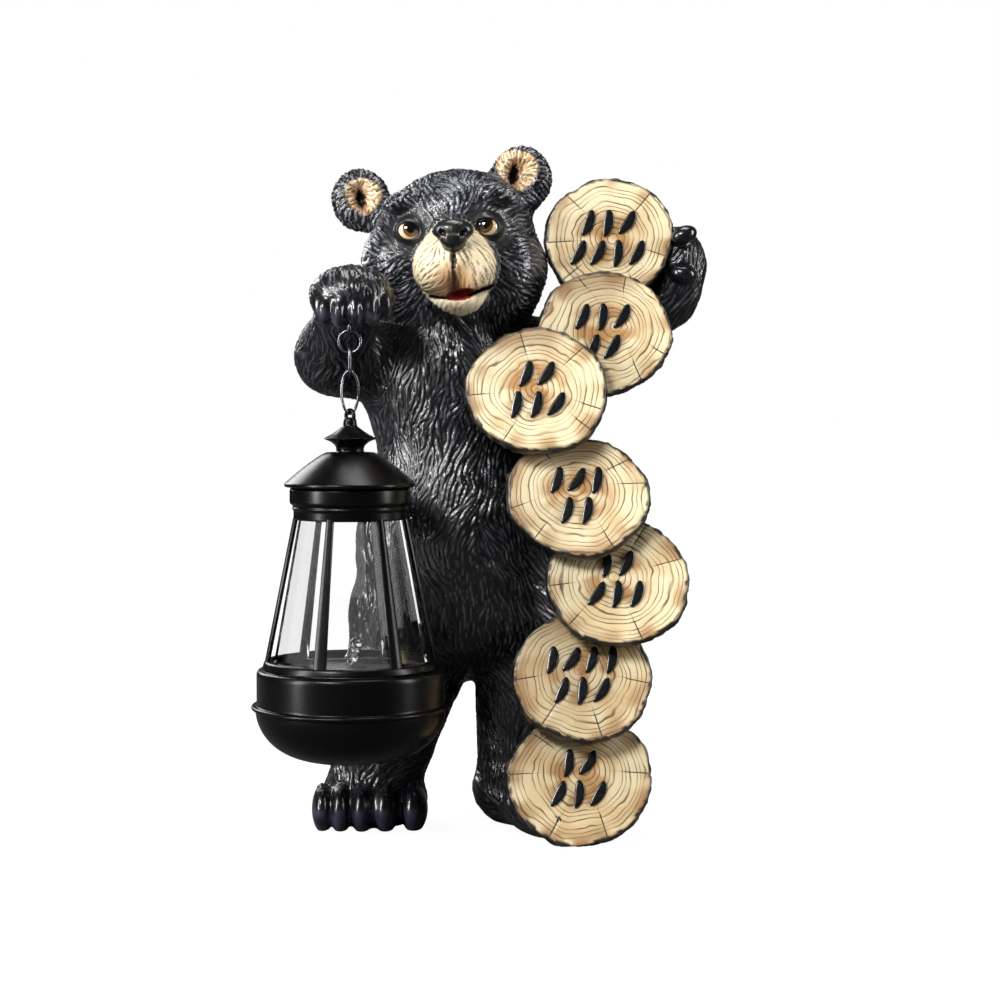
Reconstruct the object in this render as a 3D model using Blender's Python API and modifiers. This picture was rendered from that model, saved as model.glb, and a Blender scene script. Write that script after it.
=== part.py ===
"""Garden statue of a bear cub that stands upright, with a stack of seven sawn log slices in one arm and a
hanging lantern on a short chain under the other, raised paw. Metres, +Z up, the front faces -Y.

The cast figure is modelled the way clay is: named balls and tapered limbs are laid together, their skin
is drawn over with soft fillets, and locks of fur are combed into it. The slices, the strokes on them and
the lug under the paw are cast in one with it. The chain and the lantern are pieces of their own.
"""

import math

import bmesh
import bpy
import numpy as np
from mathutils import Matrix, Vector

# Cast figure. Its forms are given in units of its own height, 306 to the height.
FIGURE_HEIGHT = 0.306
UNIT = FIGURE_HEIGHT / 306
FIGURE_PLACE = Vector((0.0062, 0.0370, 0.0))

SKIN_VOXEL = 0.0017
SKIN_FACES = 4340
SKIN_ROUNDS = 5
LOCK_LENGTH = 0.021
LOCK_WIDTH = 0.0125
LOCK_DEPTH = 0.0018
LOCK_POINT = 0.9
LOCK_FULLNESS = 0.8

# Log slices
SLICE_THICK = 0.017
SLICE_STEPS = 19
BARK_PROUD = 0.0012
BARK_WOBBLE = 0.021
BARK_SHOULDER = 0.2
STROKE_LENGTH = 0.0125
STROKE_WIDTH = 0.0050
STROKE_PROUD = 0.0011
STROKE_SUNK = 0.0014
STROKE_PITCH = 0.0086
STROKE_TILT = math.radians(68)
STROKE_TILT_SPREAD = math.radians(14)
STROKE_TAPER = 0.16
STROKE_BEND = 0.35
ROW_PITCH = 0.0135
STROKE_SIDES = 6

# Lug under the paw and chain; the lug's centre is in figure units
FIT = 0.0003
LUG_CENTRE = (-62.6, -70.0, 221.2)
LUG_RADIUS = 0.0027
LUG_WIRE = 0.0009
LUG_STEPS = 10
RING_STEPS = 14
CHAIN_WIRE = 0.00062
RING_RADIUS = 0.0046
SHORT_LINK_LENGTH = 0.0120
SHORT_LINK_WIDTH = 0.0048
LONG_LINK_LENGTH = 0.0190
LONG_LINK_WIDTH = 0.0084
SHORT_LINK_TURN = (math.radians(90), math.radians(90))
LONG_LINK_TWIST = (math.radians(-20), math.radians(40))
LINK_FULLNESS = 0.85

# Lantern. The finial's outline is given in shares of its radius and of its height below the stem.
EYE_RADIUS = 0.0024
EYE_WIRE = 0.0008
EYE_TURN = math.radians(-45)
STEM_RADIUS = 0.0031
STEM_TOP_RADIUS = 0.0028
STEM_HEIGHT = 0.0026
FINIAL_RADIUS = 0.0109
FINIAL_HEIGHT = 0.0112
FINIAL_OUTLINE = ((0.39, 0.11), (0.71, 0.33), (1.0, 0.49), (0.95, 0.53), (0.63, 0.70))
NECK_RADIUS = 0.0057
NECK_START = 0.82
DOME_TOP_RADIUS = 0.0100
DOME_HEIGHT = 0.0130
DOME_SHOULDER = 1.2
DOME_FULLNESS = 1.0
BRIM_RADIUS = 0.0274
BRIM_THICK = 0.0014
ROOF_WALL = 0.0016

COLLAR_HEIGHT = 0.0133
COLLAR_RADIUS = 0.0253
COLLAR_STEP = 0.0016
COLLAR_GROOVE = (0.50, 0.58)
COLLAR_WALL = 0.0020
CAGE_HEIGHT = 0.0620
CAGE_FOOT_RADIUS = 0.0350
BAR_WIDTH_TOP = 0.0034
BAR_WIDTH_FOOT = 0.0058
BAR_THICK = 0.0020
BAR_TURNS = (-172, -107, -53.5, 8, 68, 129)
FOOT_RING_HEIGHT = 0.0032
FOOT_RING_WALL = 0.0036
GLASS_THICK = 0.0015

DRUM_RADIUS = 0.0394
DRUM_HEIGHT = 0.0152
DRUM_BEVEL = 0.0007
DECK_THICK = 0.0020
FLANGE_PROUD = 0.0024
FLANGE_HEIGHT = 0.0019
FLANGE_BEVEL = 0.0006
BOWL_PROUD = 0.0005
BOWL_DEPTH = 0.0220
BOWL_SHOULDER = 0.62
BOWL_FULLNESS = 1.1
BASE_WALL = 0.0020
TURNED_STEPS = 20

LAMP_RADIUS = 0.0025
LAMP_LENGTH = 0.0095
LAMP_LIP = 0.0004
LAMP_STEPS = 10
LEAD_RADIUS = 0.0003
LEAD_LENGTH = 0.0030
LEAD_SUNK = 0.0016
LEAD_PITCH = 0.0020
LAMP_LEAN = math.radians(17)

ROUND_EDGE = 35
WIRE_EDGE = 60
CARVED_EDGE = 50

# Balls of the clay: centre, radii and lean about the front axis in degrees, in figure units
BALLS = {
    "skull": ((-20, -6, 264), (35, 33, 27), -8),
    "forehead": ((-20.5, -14, 276.5), (24, 22, 15), -8),
    "left_cheek": ((2.5, -13, 249), (18.5, 22, 18), 0),
    "right_cheek": ((-43, -13, 252), (18.5, 22, 18), 0),
    "left_jaw": ((-3, -10, 237), (18, 20, 15), 0),
    "right_jaw": ((-34.5, -10, 238), (17, 20, 15), 0),
    "left_ear": ((9, 1, 289.8), (14, 5.5, 15.3), 20),
    "right_ear": ((-62.5, 3, 281), (13, 5.5, 14.5), -22),
    "chest": ((-24, 0, 196), (36, 32, 36), 0),
    "belly": ((-18, -2, 126), (47, 38, 56), 0),
    "hips": ((-15, 1, 98), (52, 35, 29), 0),
    "tail": ((-16, 31, 76), (10, 10, 9), 0),
    "right_paw": ((-62.5, -60, 235.5), (17.5, 15, 12.5), 0),
    "left_paw": ((80, -5, 252), (12, 10.5, 16.5), -6),
    "right_foot": ((-57.5, 0, 10), (24, 26, 12.5), 0),
    "left_foot": ((26, -18, 10), (24, 34, 13), 0),
    "left_heel": ((10, 4, 14), (21.5, 22, 14), 0),
}

# Limbs of the clay: both ends and their radii, in figure units
LIMBS = {
    "neck": ((-21, 1, 240), (-27, 1, 210), 28, 32),
    "right_upper_arm": ((-38, -4, 208), (-73, -17, 210), 22, 16),
    "right_forearm": ((-73, -18, 212), (-65, -50, 230), 15.5, 12),
    "left_upper_arm": ((6, 5, 210), (43, 10, 213), 20, 13),
    "left_forearm": ((43, 10, 213), (76, 0, 236), 12.5, 12),
    "right_leg": ((-42, 1, 86), (-57, 1, 20), 25, 20.5),
    "right_thigh": ((-36, 1, 84), (-52, 1, 40), 26, 21),
    "left_leg": ((13, 2, 86), (12, 8, 16), 25, 21.5),
    "waist": ((-23, 0, 195), (-19.5, -1, 132), 31.5, 35),
    "pile": ((25, -23, 195), (27, -22, 18), 10, 11),
}

# Toes and claws stand in rows bent back by the square of the distance from their middle. Spread is the
# place of each across the front, row is the middle one's depth and height, in figure units. Growth is
# how much a toe's half width gains for each unit across.
TOE_SPREAD = (-79.0, -71.0, -61.5, -51.0, -38.5)
TOE_MIDDLE = -60.0
TOE_ROW = (-18.0, 9.2)
TOE_BEND = 0.0045
TOE_RADII = (5.0, 11.0, 11.0)
TOE_GROWTH = 0.03
CLAW_SPREAD = (-73.2, -66.8, -60.2, -53.8, -47.8)
CLAW_MIDDLE = -64.0
CLAW_ROW = (-69.0, 227.8)
CLAW_BEND = 0.025
CLAW_LIFT = 1 / 2
CLAW_RADII = (3.8, 7.5, 6.8)

# Other small forms, which meet the rest with a tight fillet
SMALL_BALLS = {
    "muzzle": ((-18.8, -38, 250.5), (18.5, 24, 14), 0),
    "bridge": ((-20.5, -40, 263), (9.5, 17.5, 8), 0),
    "left_lip": ((-10.8, -48, 246.5), (10.2, 12, 10.5), -10),
    "right_lip": ((-26.8, -48, 246.5), (10.2, 12, 10.5), 10),
    "chin": ((-18.3, -38.5, 234.2), (13.8, 14, 6.8), -5),
    "left_brow": ((-3, -29.5, 280.5), (11, 6, 5), 14),
    "right_brow": ((-40.5, -28.5, 278), (11, 6, 5), -18),
    "nose": ((-19.8, -60.5, 262.6), (8.8, 6.3, 5), 0),
    "nose_tip": ((-19.7, -61.5, 258.8), (5.4, 5.2, 4.8), 0),
    "left_eye": ((-5.5, -33.8, 266.3), (7.0, 5.6, 5.8), 10),
    "right_eye": ((-39.3, -33.2, 264.6), (7.0, 5.6, 5.8), 6),
    "left_upper_claw": ((81, -17, 264), (6, 5, 4), -20),
    "left_lower_claw": ((81, -17, 247), (6, 5, 4), 10),
}

# Hollows pressed into the clay: centre, radii, lean
HOLLOWS = {
    "left_ear_bowl": ((8.6, -6, 292.6), (9, 5, 7.8), 20),
    "right_ear_bowl": ((-62.6, -4, 282.6), (7.6, 5, 7.8), -22),
    "mouth": ((-17.5, -54, 236.2), (9.5, 9, 2.2), -6),
}

SOFT_FILLET = 8.0
TIGHT_FILLET = 2.2

# The fur: where its locks start on the face, the body's upright middle line, the reach at which locks
# have their full width, and the distances over which it fades out, in figure units
FACE_CENTRE = (-20.0, -50.0, 258.0)
FACE_FLATTEN = 0.6
FACE_REACH = 30.0
BODY_MIDDLE = (-18.0, 12.0)
BODY_REACH = 45.0
BODY_SPREAD = 0.25
HEAD_FOOT = 231.0
HEAD_HALF_WIDTH = 52.0
BARE_FACE = (22.0, 31.0)
BARE_FOOT = (19.0, 26.0)
BARE_RIM = (0.5, 4.0)

# Slices: centre of the sawn face, half width, half height, lean back, turn of the growth and strokes in
# the two rows, in units and degrees. A slice leans back so far that it clears the one below.
SLICES = {
    "first": ((47.9, -17, 262.4), 27.5, 26.8, 8, 0, (3, 4)),
    "second": ((45.0, -30, 220.7), 28.3, 27.2, 10, 50, (3, 2)),
    "third": ((15.9, -46, 195.7), 29.2, 27.4, 14, 110, (2, 3)),
    "fourth": ((33.5, -45, 150.2), 30.0, 26.0, 18, 160, (3, 2)),
    "fifth": ((50.6, -45, 114.1), 30.5, 28.0, 19, 215, (2, 3)),
    "sixth": ((35.7, -45, 72.4), 30.0, 27.6, 20, 260, (4, 3)),
    "seventh": ((34.3, -46, 27.6), 31.3, 27.6, 20, 310, (2, 3)),
}

COLLECTION = "solar_bear_statue"
GUIDES = "cutters"


def tidy_scene():
    """An empty scene with a collection for the parts and one for the cutters."""
    for old in list(bpy.data.objects):
        bpy.data.objects.remove(old, do_unlink=True)
    for name in (COLLECTION, GUIDES):
        bpy.context.scene.collection.children.link(bpy.data.collections.new(name))


def finish(name, colour, roughness, metallic=0.0, clear=0.0):
    """A Principled material from plain values."""
    made = bpy.data.materials.new(name)
    made.use_nodes = True
    shader = made.node_tree.nodes["Principled BSDF"]
    shader.inputs["Base Color"].default_value = (*colour, 1.0)
    shader.inputs["Roughness"].default_value = roughness
    shader.inputs["Metallic"].default_value = metallic
    shader.inputs["Transmission Weight"].default_value = clear
    return made


def placed(name, mesh, material=None, guide=False):
    """An object in its collection."""
    made = bpy.data.objects.new(name, mesh)
    bpy.data.collections[GUIDES if guide else COLLECTION].objects.link(made)
    if guide:
        made.hide_render = True
        made.display_type = "WIRE"
    if material:
        made.data.materials.append(material)
    return made


def evaluated_mesh(source):
    """The mesh of an object with its modifiers applied, in its own space."""
    graph = bpy.context.evaluated_depsgraph_get()
    return bpy.data.meshes.new_from_object(source.evaluated_get(graph))


def settle(target):
    """Applies an object's modifiers."""
    bpy.context.view_layer.update()
    mesh = evaluated_mesh(target)
    target.modifiers.clear()
    target.data = mesh
    return target


def points_of(mesh):
    points = np.empty(len(mesh.vertices) * 3)
    mesh.vertices.foreach_get("co", points)
    return points.reshape(-1, 3)


def move_points(mesh, points):
    mesh.vertices.foreach_set("co", np.ascontiguousarray(points, dtype=np.float32).ravel())
    mesh.update()


def turn_about_front(degrees):
    """A rotation matrix about the Y axis; a negative lean lifts the side at +X."""
    return np.array(Matrix.Rotation(math.radians(degrees), 3, "Y"))


def ball_depth(points, centre, radii, lean):
    """Distance to an ellipsoid's skin, negative inside, near enough for soft forms."""
    local = (points - np.array(centre)) @ turn_about_front(lean)
    scaled = local / np.array(radii)
    reach = np.linalg.norm(scaled, axis=1)
    slope = np.linalg.norm(scaled / np.array(radii), axis=1)
    return reach * (reach - 1) / np.maximum(slope, 1e-6)


def limb_depth(points, start, end, start_radius, end_radius):
    """Distance to a tapered limb's skin."""
    start, axis = np.array(start, float), np.subtract(end, start).astype(float)
    along = np.clip((points - start) @ axis / (axis @ axis), 0, 1)
    middle = start + along[:, None] * axis
    radius = start_radius + (end_radius - start_radius) * along
    return np.linalg.norm(points - middle, axis=1) - radius


def join_soft(a, b, fillet):
    """The nearer of two skins, with a fillet between them."""
    blend = np.maximum(fillet - np.abs(a - b), 0) / fillet
    return np.minimum(a, b) - blend**2 * fillet / 4


def press_soft(a, b, fillet):
    """A skin with a hollow pressed into it."""
    return -join_soft(-a, b, fillet)


def toes():
    """Five toes of the right foot, fanned along its front."""
    depth, height = TOE_ROW
    for number, across in enumerate(TOE_SPREAD):
        back = TOE_BEND * (across - TOE_MIDDLE) ** 2
        wide = TOE_RADII[0] + TOE_GROWTH * (across - TOE_SPREAD[0])
        yield f"toe_{number}", ((across, depth + back, height), (wide, *TOE_RADII[1:]), 0)


def claws():
    """Five claws of the raised paw, curled down over its front edge."""
    depth, height = CLAW_ROW
    for number, across in enumerate(CLAW_SPREAD):
        back = CLAW_BEND * (across - CLAW_MIDDLE) ** 2
        yield f"claw_{number}", ((across, depth + back, height + back * CLAW_LIFT), CLAW_RADII, 0)


def small_forms():
    return {**SMALL_BALLS, **dict(toes()), **dict(claws())}


def clay(points):
    """Depth of the whole figure's skin at points in figure units."""
    skin = None
    for form in BALLS.values():
        depth = ball_depth(points, *form)
        skin = depth if skin is None else join_soft(skin, depth, SOFT_FILLET)
    for form in LIMBS.values():
        skin = join_soft(skin, limb_depth(points, *form), SOFT_FILLET)
    for form in small_forms().values():
        skin = join_soft(skin, ball_depth(points, *form), TIGHT_FILLET)
    for form in HOLLOWS.values():
        skin = press_soft(skin, ball_depth(points, *form), TIGHT_FILLET)
    return skin


def clay_slope(points, step=0.05):
    """Direction in which the clay's depth grows, by small steps along each axis."""
    sides = [clay(points + step * axis) - clay(points - step * axis) for axis in np.eye(3)]
    return np.stack(sides, axis=1) / (2 * step)


def draw_to_skin(points, least_slope=0.05, longest_move=2.0):
    """Moves points onto the clay's skin, and returns them with the skin's normals."""
    for _ in range(SKIN_ROUNDS):
        slope = clay_slope(points)
        square = np.maximum((slope**2).sum(axis=1), least_slope)
        move = (clay(points) / square)[:, None] * slope
        points = points - np.clip(move, -longest_move, longest_move)
    slope = clay_slope(points)
    return points, slope / np.maximum(np.linalg.norm(slope, axis=1), 1e-6)[:, None]


def fade(value, low, high):
    """0 below low, 1 above high, eased between."""
    share = np.clip((value - low) / (high - low), 0, 1)
    return share * share * (3 - 2 * share)


def lock_height(along, across):
    """Height from 0 to 1 of overlapping pointed locks: rows along the fur, staggered by column. Both
    distances are in figure units."""
    column = across * UNIT / LOCK_WIDTH
    whole = np.floor(column)
    stagger = 0.5 * np.sin(whole * 2.4) + 0.5 * (whole % 2)
    tip = np.abs(column - whole - 0.5)
    share = (along * UNIT / LOCK_LENGTH + stagger - LOCK_POINT * tip) % 1.0
    return (1 - share) ** LOCK_FULLNESS * (1 - (1.7 * tip) ** 1.5)


def fur(points):
    """Height of the combed locks over the skin, in metres. They run down the body and out from the
    face, and fade on the muzzle, eyes, ears, nose, toes and claws."""
    x, y, z = points.T
    across, _, up = FACE_CENTRE
    middle, depth = BODY_MIDDLE
    from_face = np.linalg.norm((points - np.array(FACE_CENTRE)) * (1, FACE_FLATTEN, 1), axis=1)
    head_locks = lock_height(from_face, np.arctan2(z - up, x - across) * FACE_REACH)
    around_body = np.arctan2(x - middle, depth - y) * BODY_REACH
    body_locks = lock_height(BODY_SPREAD * np.abs(x - middle) - z, around_body)
    on_head = (z > HEAD_FOOT) & (np.abs(x - across) < HEAD_HALF_WIDTH)
    keep = fade(from_face, *BARE_FACE) * fade(z, *BARE_FOOT)
    for centre, radii, _ in [*small_forms().values(), *HOLLOWS.values()]:
        reach = np.linalg.norm(points - np.array(centre), axis=1)
        keep *= fade(reach, max(radii) + BARE_RIM[0], max(radii) + BARE_RIM[1])
    return LOCK_DEPTH * np.where(on_head, head_locks, body_locks) * keep


def limb_balls():
    """Balls strung along each limb, half a radius apart, as a first body for the skin."""
    for start, end, start_radius, end_radius in LIMBS.values():
        length = np.linalg.norm(np.subtract(end, start))
        count = 2 + int(2 * length / min(start_radius, end_radius))
        for share in np.linspace(0, 1, count):
            centre = np.array(start) * (1 - share) + np.array(end) * share
            radius = start_radius + (end_radius - start_radius) * share
            yield centre, (radius,) * 3, 0


def rough_body():
    """All the forms as plain balls in one mesh."""
    form = bmesh.new()
    forms = [*BALLS.values(), *limb_balls(), *small_forms().values()]
    for centre, radii, lean in forms:
        place = Matrix.Translation(Vector([float(c) for c in centre]))
        turn = Matrix.Rotation(math.radians(lean), 4, "Y")
        size = Matrix.Diagonal((*[float(r) for r in radii], 1.0))
        scale = Matrix.Scale(UNIT, 4)
        bmesh.ops.create_icosphere(form, subdivisions=3, radius=1.0, matrix=scale @ place @ turn @ size)
    mesh = bpy.data.meshes.new("rough_body")
    form.to_mesh(mesh)
    form.free()
    return mesh


def body():
    """The bear: rough balls made one skin, drawn to the clay, combed and thinned out."""
    made = placed("bear", rough_body(), guide=True)
    skin = made.modifiers.new("skin", "REMESH")
    skin.mode = "VOXEL"
    skin.voxel_size = SKIN_VOXEL
    settle(made)
    points, normals = draw_to_skin(points_of(made.data) / UNIT)
    move_points(made.data, points * UNIT + normals * fur(points)[:, None])
    thin = made.modifiers.new("thin", "DECIMATE")
    thin.ratio = SKIN_FACES / (2 * len(made.data.polygons))
    return settle(made)


def turned(name, profile, steps, material=None, guide=False):
    """A closed turned piece from a profile of (radius, height) that runs down its outer side."""
    mesh = bpy.data.meshes.new(name)
    edges = [(i, i + 1) for i in range(len(profile) - 1)]
    mesh.from_pydata([(radius, 0, height) for radius, height in profile], edges, [])
    made = placed(name, mesh, material, guide)
    screw = made.modifiers.new("turn", "SCREW")
    screw.steps = screw.render_steps = steps
    screw.use_merge_vertices = True
    screw.merge_threshold = 0.00001
    settle(made)
    form = bmesh.new()
    form.from_mesh(made.data)
    bmesh.ops.remove_doubles(form, verts=form.verts, dist=0.00001)
    bmesh.ops.recalc_face_normals(form, faces=form.faces)
    form.to_mesh(made.data)
    form.free()
    return made


def smooth(target, angle=ROUND_EDGE):
    """Smooth shading with the edges kept sharp above an angle."""
    target.data.shade_smooth()
    target.data.set_sharp_from_angle(angle=math.radians(angle))
    return target


def outline_share(angle, growth):
    """The bark outline's radius at an angle, as a share: a few low waves that differ by slice."""
    turn = math.radians(growth)
    low = math.sin(2 * angle + turn) + 0.7 * math.sin(3 * angle + 2.3 * turn)
    high = 0.5 * math.sin(5 * angle + 3.1 * turn) + 0.35 * math.sin(8 * angle + 1.7 * turn)
    return 1 + BARK_WOBBLE * (low + high)


def slice_place(centre, lean):
    """Matrix that stands a slice up, its face to the front and tipped up by its lean."""
    stand = Matrix.Rotation(math.radians(90 - lean), 4, "X")
    return Matrix.Translation(Vector(centre) * UNIT) @ stand


def log_slice(name, centre, half_width, half_height, lean, growth):
    """A sawn slice: a drum turned at radius 1 with a bark edge, then made irregular and oval."""
    proud = BARK_PROUD / (half_width * UNIT)
    profile = [
        (0, 0),
        (1 - proud, 0),
        (1 + proud, -BARK_SHOULDER * SLICE_THICK),
        (1 - 2 * proud, -SLICE_THICK),
        (0, -SLICE_THICK),
    ]
    made = turned(name, profile, SLICE_STEPS, guide=True)
    points = points_of(made.data)
    angles = np.arctan2(points[:, 1], points[:, 0])
    share = np.array([outline_share(angle, growth) for angle in angles])
    points[:, 0] *= share * half_width * UNIT
    points[:, 1] *= share * half_height * UNIT
    move_points(made.data, points)
    made.data.transform(slice_place(centre, lean))
    return made


def stroke_outline(side):
    """A point of a dab's outline: pointed at one end, full at the other, and slightly bent."""
    angle = 2 * math.pi * side / STROKE_SIDES
    along = math.cos(angle)
    across = math.sin(angle) * (1 - STROKE_TAPER + STROKE_TAPER * along)
    return along * STROKE_LENGTH / 2, (across + STROKE_BEND * along**2) * STROKE_WIDTH / 2


def strokes(name, centre, lean, growth, rows):
    """Two short rows of raised dabs across the middle of a slice."""
    form = bmesh.new()
    for row, count in enumerate(rows):
        for place in range(count):
            x = (place - (count - 1) / 2) * STROKE_PITCH
            y = (0.5 - row) * ROW_PITCH
            tilt = STROKE_TILT + STROKE_TILT_SPREAD * math.sin(growth + 2.1 * place + 3.7 * row)
            corners = [stroke_outline(side) for side in range(STROKE_SIDES)]
            turn = Matrix.Translation((x, y, -STROKE_SUNK)) @ Matrix.Rotation(tilt, 4, "Z")
            verts = [form.verts.new(turn @ Vector((a, b, 0))) for a, b in corners]
            face = form.faces.new(verts)
            raised = bmesh.ops.extrude_face_region(form, geom=[face])["geom"]
            lifted = [part for part in raised if isinstance(part, bmesh.types.BMVert)]
            bmesh.ops.translate(form, verts=lifted, vec=(0, 0, STROKE_SUNK + STROKE_PROUD))
    bmesh.ops.recalc_face_normals(form, faces=form.faces)
    mesh = bpy.data.meshes.new(name)
    form.to_mesh(mesh)
    form.free()
    mesh.transform(slice_place(centre, lean))
    return placed(name, mesh, guide=True)


def wire_mesh(name, points, radius, resolution=1):
    """A closed wire through points, as a mesh."""
    curve = bpy.data.curves.new(name, "CURVE")
    curve.dimensions = "3D"
    curve.bevel_depth = radius
    curve.bevel_resolution = resolution
    line = curve.splines.new("POLY")
    line.points.add(len(points) - 1)
    for point, place in zip(line.points, points):
        point.co = (*place, 1.0)
    line.use_cyclic_u = True
    holder = bpy.data.objects.new(name, curve)
    bpy.context.scene.collection.objects.link(holder)
    bpy.context.view_layer.update()
    mesh = evaluated_mesh(holder)
    bpy.data.objects.remove(holder, do_unlink=True)
    bpy.data.curves.remove(curve)
    form = bmesh.new()
    form.from_mesh(mesh)
    bmesh.ops.remove_doubles(form, verts=form.verts, dist=0.00001)
    bmesh.ops.recalc_face_normals(form, faces=form.faces)
    form.to_mesh(mesh)
    form.free()
    return mesh


def ring_points(radius, steps):
    """Centre line of a round ring that stands in the XZ plane."""
    angles = np.linspace(0, 2 * math.pi, steps, endpoint=False)
    return [(radius * math.cos(a), 0, radius * math.sin(a)) for a in angles]


def link_points(length, width, twist):
    """Centre line of an oval link, outer length and width less the wire. Its plane turns from the first
    angle at the top to the second at the foot."""
    half_length, half_width = length / 2 - CHAIN_WIRE, width / 2 - CHAIN_WIRE
    angles = np.linspace(0, 2 * math.pi, RING_STEPS, endpoint=False)
    line = []
    for a in angles:
        across = half_width * math.copysign(abs(math.sin(a)) ** LINK_FULLNESS, math.sin(a))
        turn = twist[0] + (twist[1] - twist[0]) * (1 - math.cos(a)) / 2
        line.append((across * math.cos(turn), across * math.sin(turn), half_length * math.cos(a)))
    return line


def union_into(target, guides):
    """Joins a collection of closed shapes to a target."""
    operands = bpy.data.collections.new(f"{target.name}_operands")
    bpy.context.scene.collection.children.link(operands)
    for guide in guides:
        operands.objects.link(guide)
    join = target.modifiers.new("join", "BOOLEAN")
    join.operation = "UNION"
    join.operand_type = "COLLECTION"
    join.collection = operands
    join.solver = "MANIFOLD"
    settle(target)
    bpy.data.collections.remove(operands)
    return target


def lug_place():
    """Centre of the lug's eye, under the raised paw, in world space."""
    x, y, z = LUG_CENTRE
    return FIGURE_PLACE + Vector((x, y, z)) * UNIT


def cast_statue(material):
    """The whole casting: bear, slices, strokes and lug in one closed piece, cut flat below."""
    bear = body()
    guides = []
    for name, (centre, half_width, half_height, lean, growth, rows) in SLICES.items():
        guides.append(log_slice(f"slice_{name}", centre, half_width, half_height, lean, growth))
        guides.append(strokes(f"strokes_{name}", centre, lean, growth, rows))
    lug = placed("lug", wire_mesh("lug", ring_points(LUG_RADIUS, LUG_STEPS), LUG_WIRE), guide=True)
    lug.data.transform(Matrix.Rotation(math.radians(90), 4, "Z"))
    lug.data.transform(Matrix.Translation(lug_place() - FIGURE_PLACE))
    guides.append(lug)
    made = placed("cast_statue", bear.data.copy(), material)
    union_into(made, guides)
    ground = bpy.data.meshes.new("ground")
    form = bmesh.new()
    bmesh.ops.create_cube(form, size=FIGURE_HEIGHT)
    bmesh.ops.translate(form, verts=form.verts, vec=(0, 0, -FIGURE_HEIGHT / 2))
    form.to_mesh(ground)
    form.free()
    cutter = placed("ground_cutter", ground, guide=True)
    cut = made.modifiers.new("cut", "BOOLEAN")
    cut.operation = "DIFFERENCE"
    cut.object = cutter
    cut.solver = "MANIFOLD"
    settle(made)
    made.location = FIGURE_PLACE
    return smooth(made, CARVED_EDGE)


def wire_piece(name, points, place, material):
    """A piece of the chain's wire bent along points, at its place."""
    made = placed(name, wire_mesh(name, points, CHAIN_WIRE), material)
    made.location = place
    return smooth(made, WIRE_EDGE)


def chain(material):
    """Ring, short link and long link, each hanging in the one above. Returns the place of the last
    link's lowest wire."""
    lug = lug_place()
    touch = CHAIN_WIRE + FIT
    ring_top = lug.z - LUG_RADIUS + LUG_WIRE + touch
    ring_z = ring_top - RING_RADIUS
    wire_piece("chain_ring", ring_points(RING_RADIUS, RING_STEPS), (lug.x, lug.y, ring_z), material)
    hang = CHAIN_WIRE + touch
    short_top = ring_z - RING_RADIUS + hang
    short_z = short_top - SHORT_LINK_LENGTH / 2 + CHAIN_WIRE
    line = link_points(SHORT_LINK_LENGTH, SHORT_LINK_WIDTH, SHORT_LINK_TURN)
    wire_piece("chain_short_link", line, (lug.x, lug.y, short_z), material)
    short_foot = short_z - SHORT_LINK_LENGTH / 2 + CHAIN_WIRE
    long_top = short_foot + hang
    long_z = long_top - LONG_LINK_LENGTH / 2 + CHAIN_WIRE
    line = link_points(LONG_LINK_LENGTH, LONG_LINK_WIDTH, LONG_LINK_TWIST)
    wire_piece("chain_long_link", line, (lug.x, lug.y, long_z), material)
    return Vector((lug.x, lug.y, long_z - LONG_LINK_LENGTH / 2 + CHAIN_WIRE))


def lantern_heights(hook):
    """Heights of the lantern's levels below the wire that it hangs on."""
    eye = hook.z + CHAIN_WIRE + FIT + EYE_WIRE - EYE_RADIUS
    stem = eye - EYE_RADIUS + EYE_WIRE
    finial = stem - STEM_HEIGHT
    dome = finial - FINIAL_HEIGHT
    brim = dome - DOME_HEIGHT
    collar = brim - BRIM_THICK - FIT
    bars = collar - COLLAR_HEIGHT
    deck = bars - CAGE_HEIGHT - FIT
    flange = deck - DRUM_HEIGHT
    bowl = flange - FLANGE_HEIGHT - FIT
    return {
        "eye": eye,
        "stem": stem,
        "finial": finial,
        "dome": dome,
        "brim": brim,
        "collar": collar,
        "bars": bars,
        "deck": deck,
        "flange": flange,
        "bowl": bowl,
    }


def dome_curve(top, foot, steps=5):
    """Profile from the dome's top edge down to the brim, full like a quarter of an egg."""
    line = []
    for share in np.linspace(0, 1, steps):
        angle = share * math.pi / 2
        out = math.sin(angle)
        radius = DOME_TOP_RADIUS + (BRIM_RADIUS - DOME_TOP_RADIUS) * out
        line.append((radius, foot + (top - foot) * (1 - out**DOME_SHOULDER) ** DOME_FULLNESS))
    return line


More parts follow.
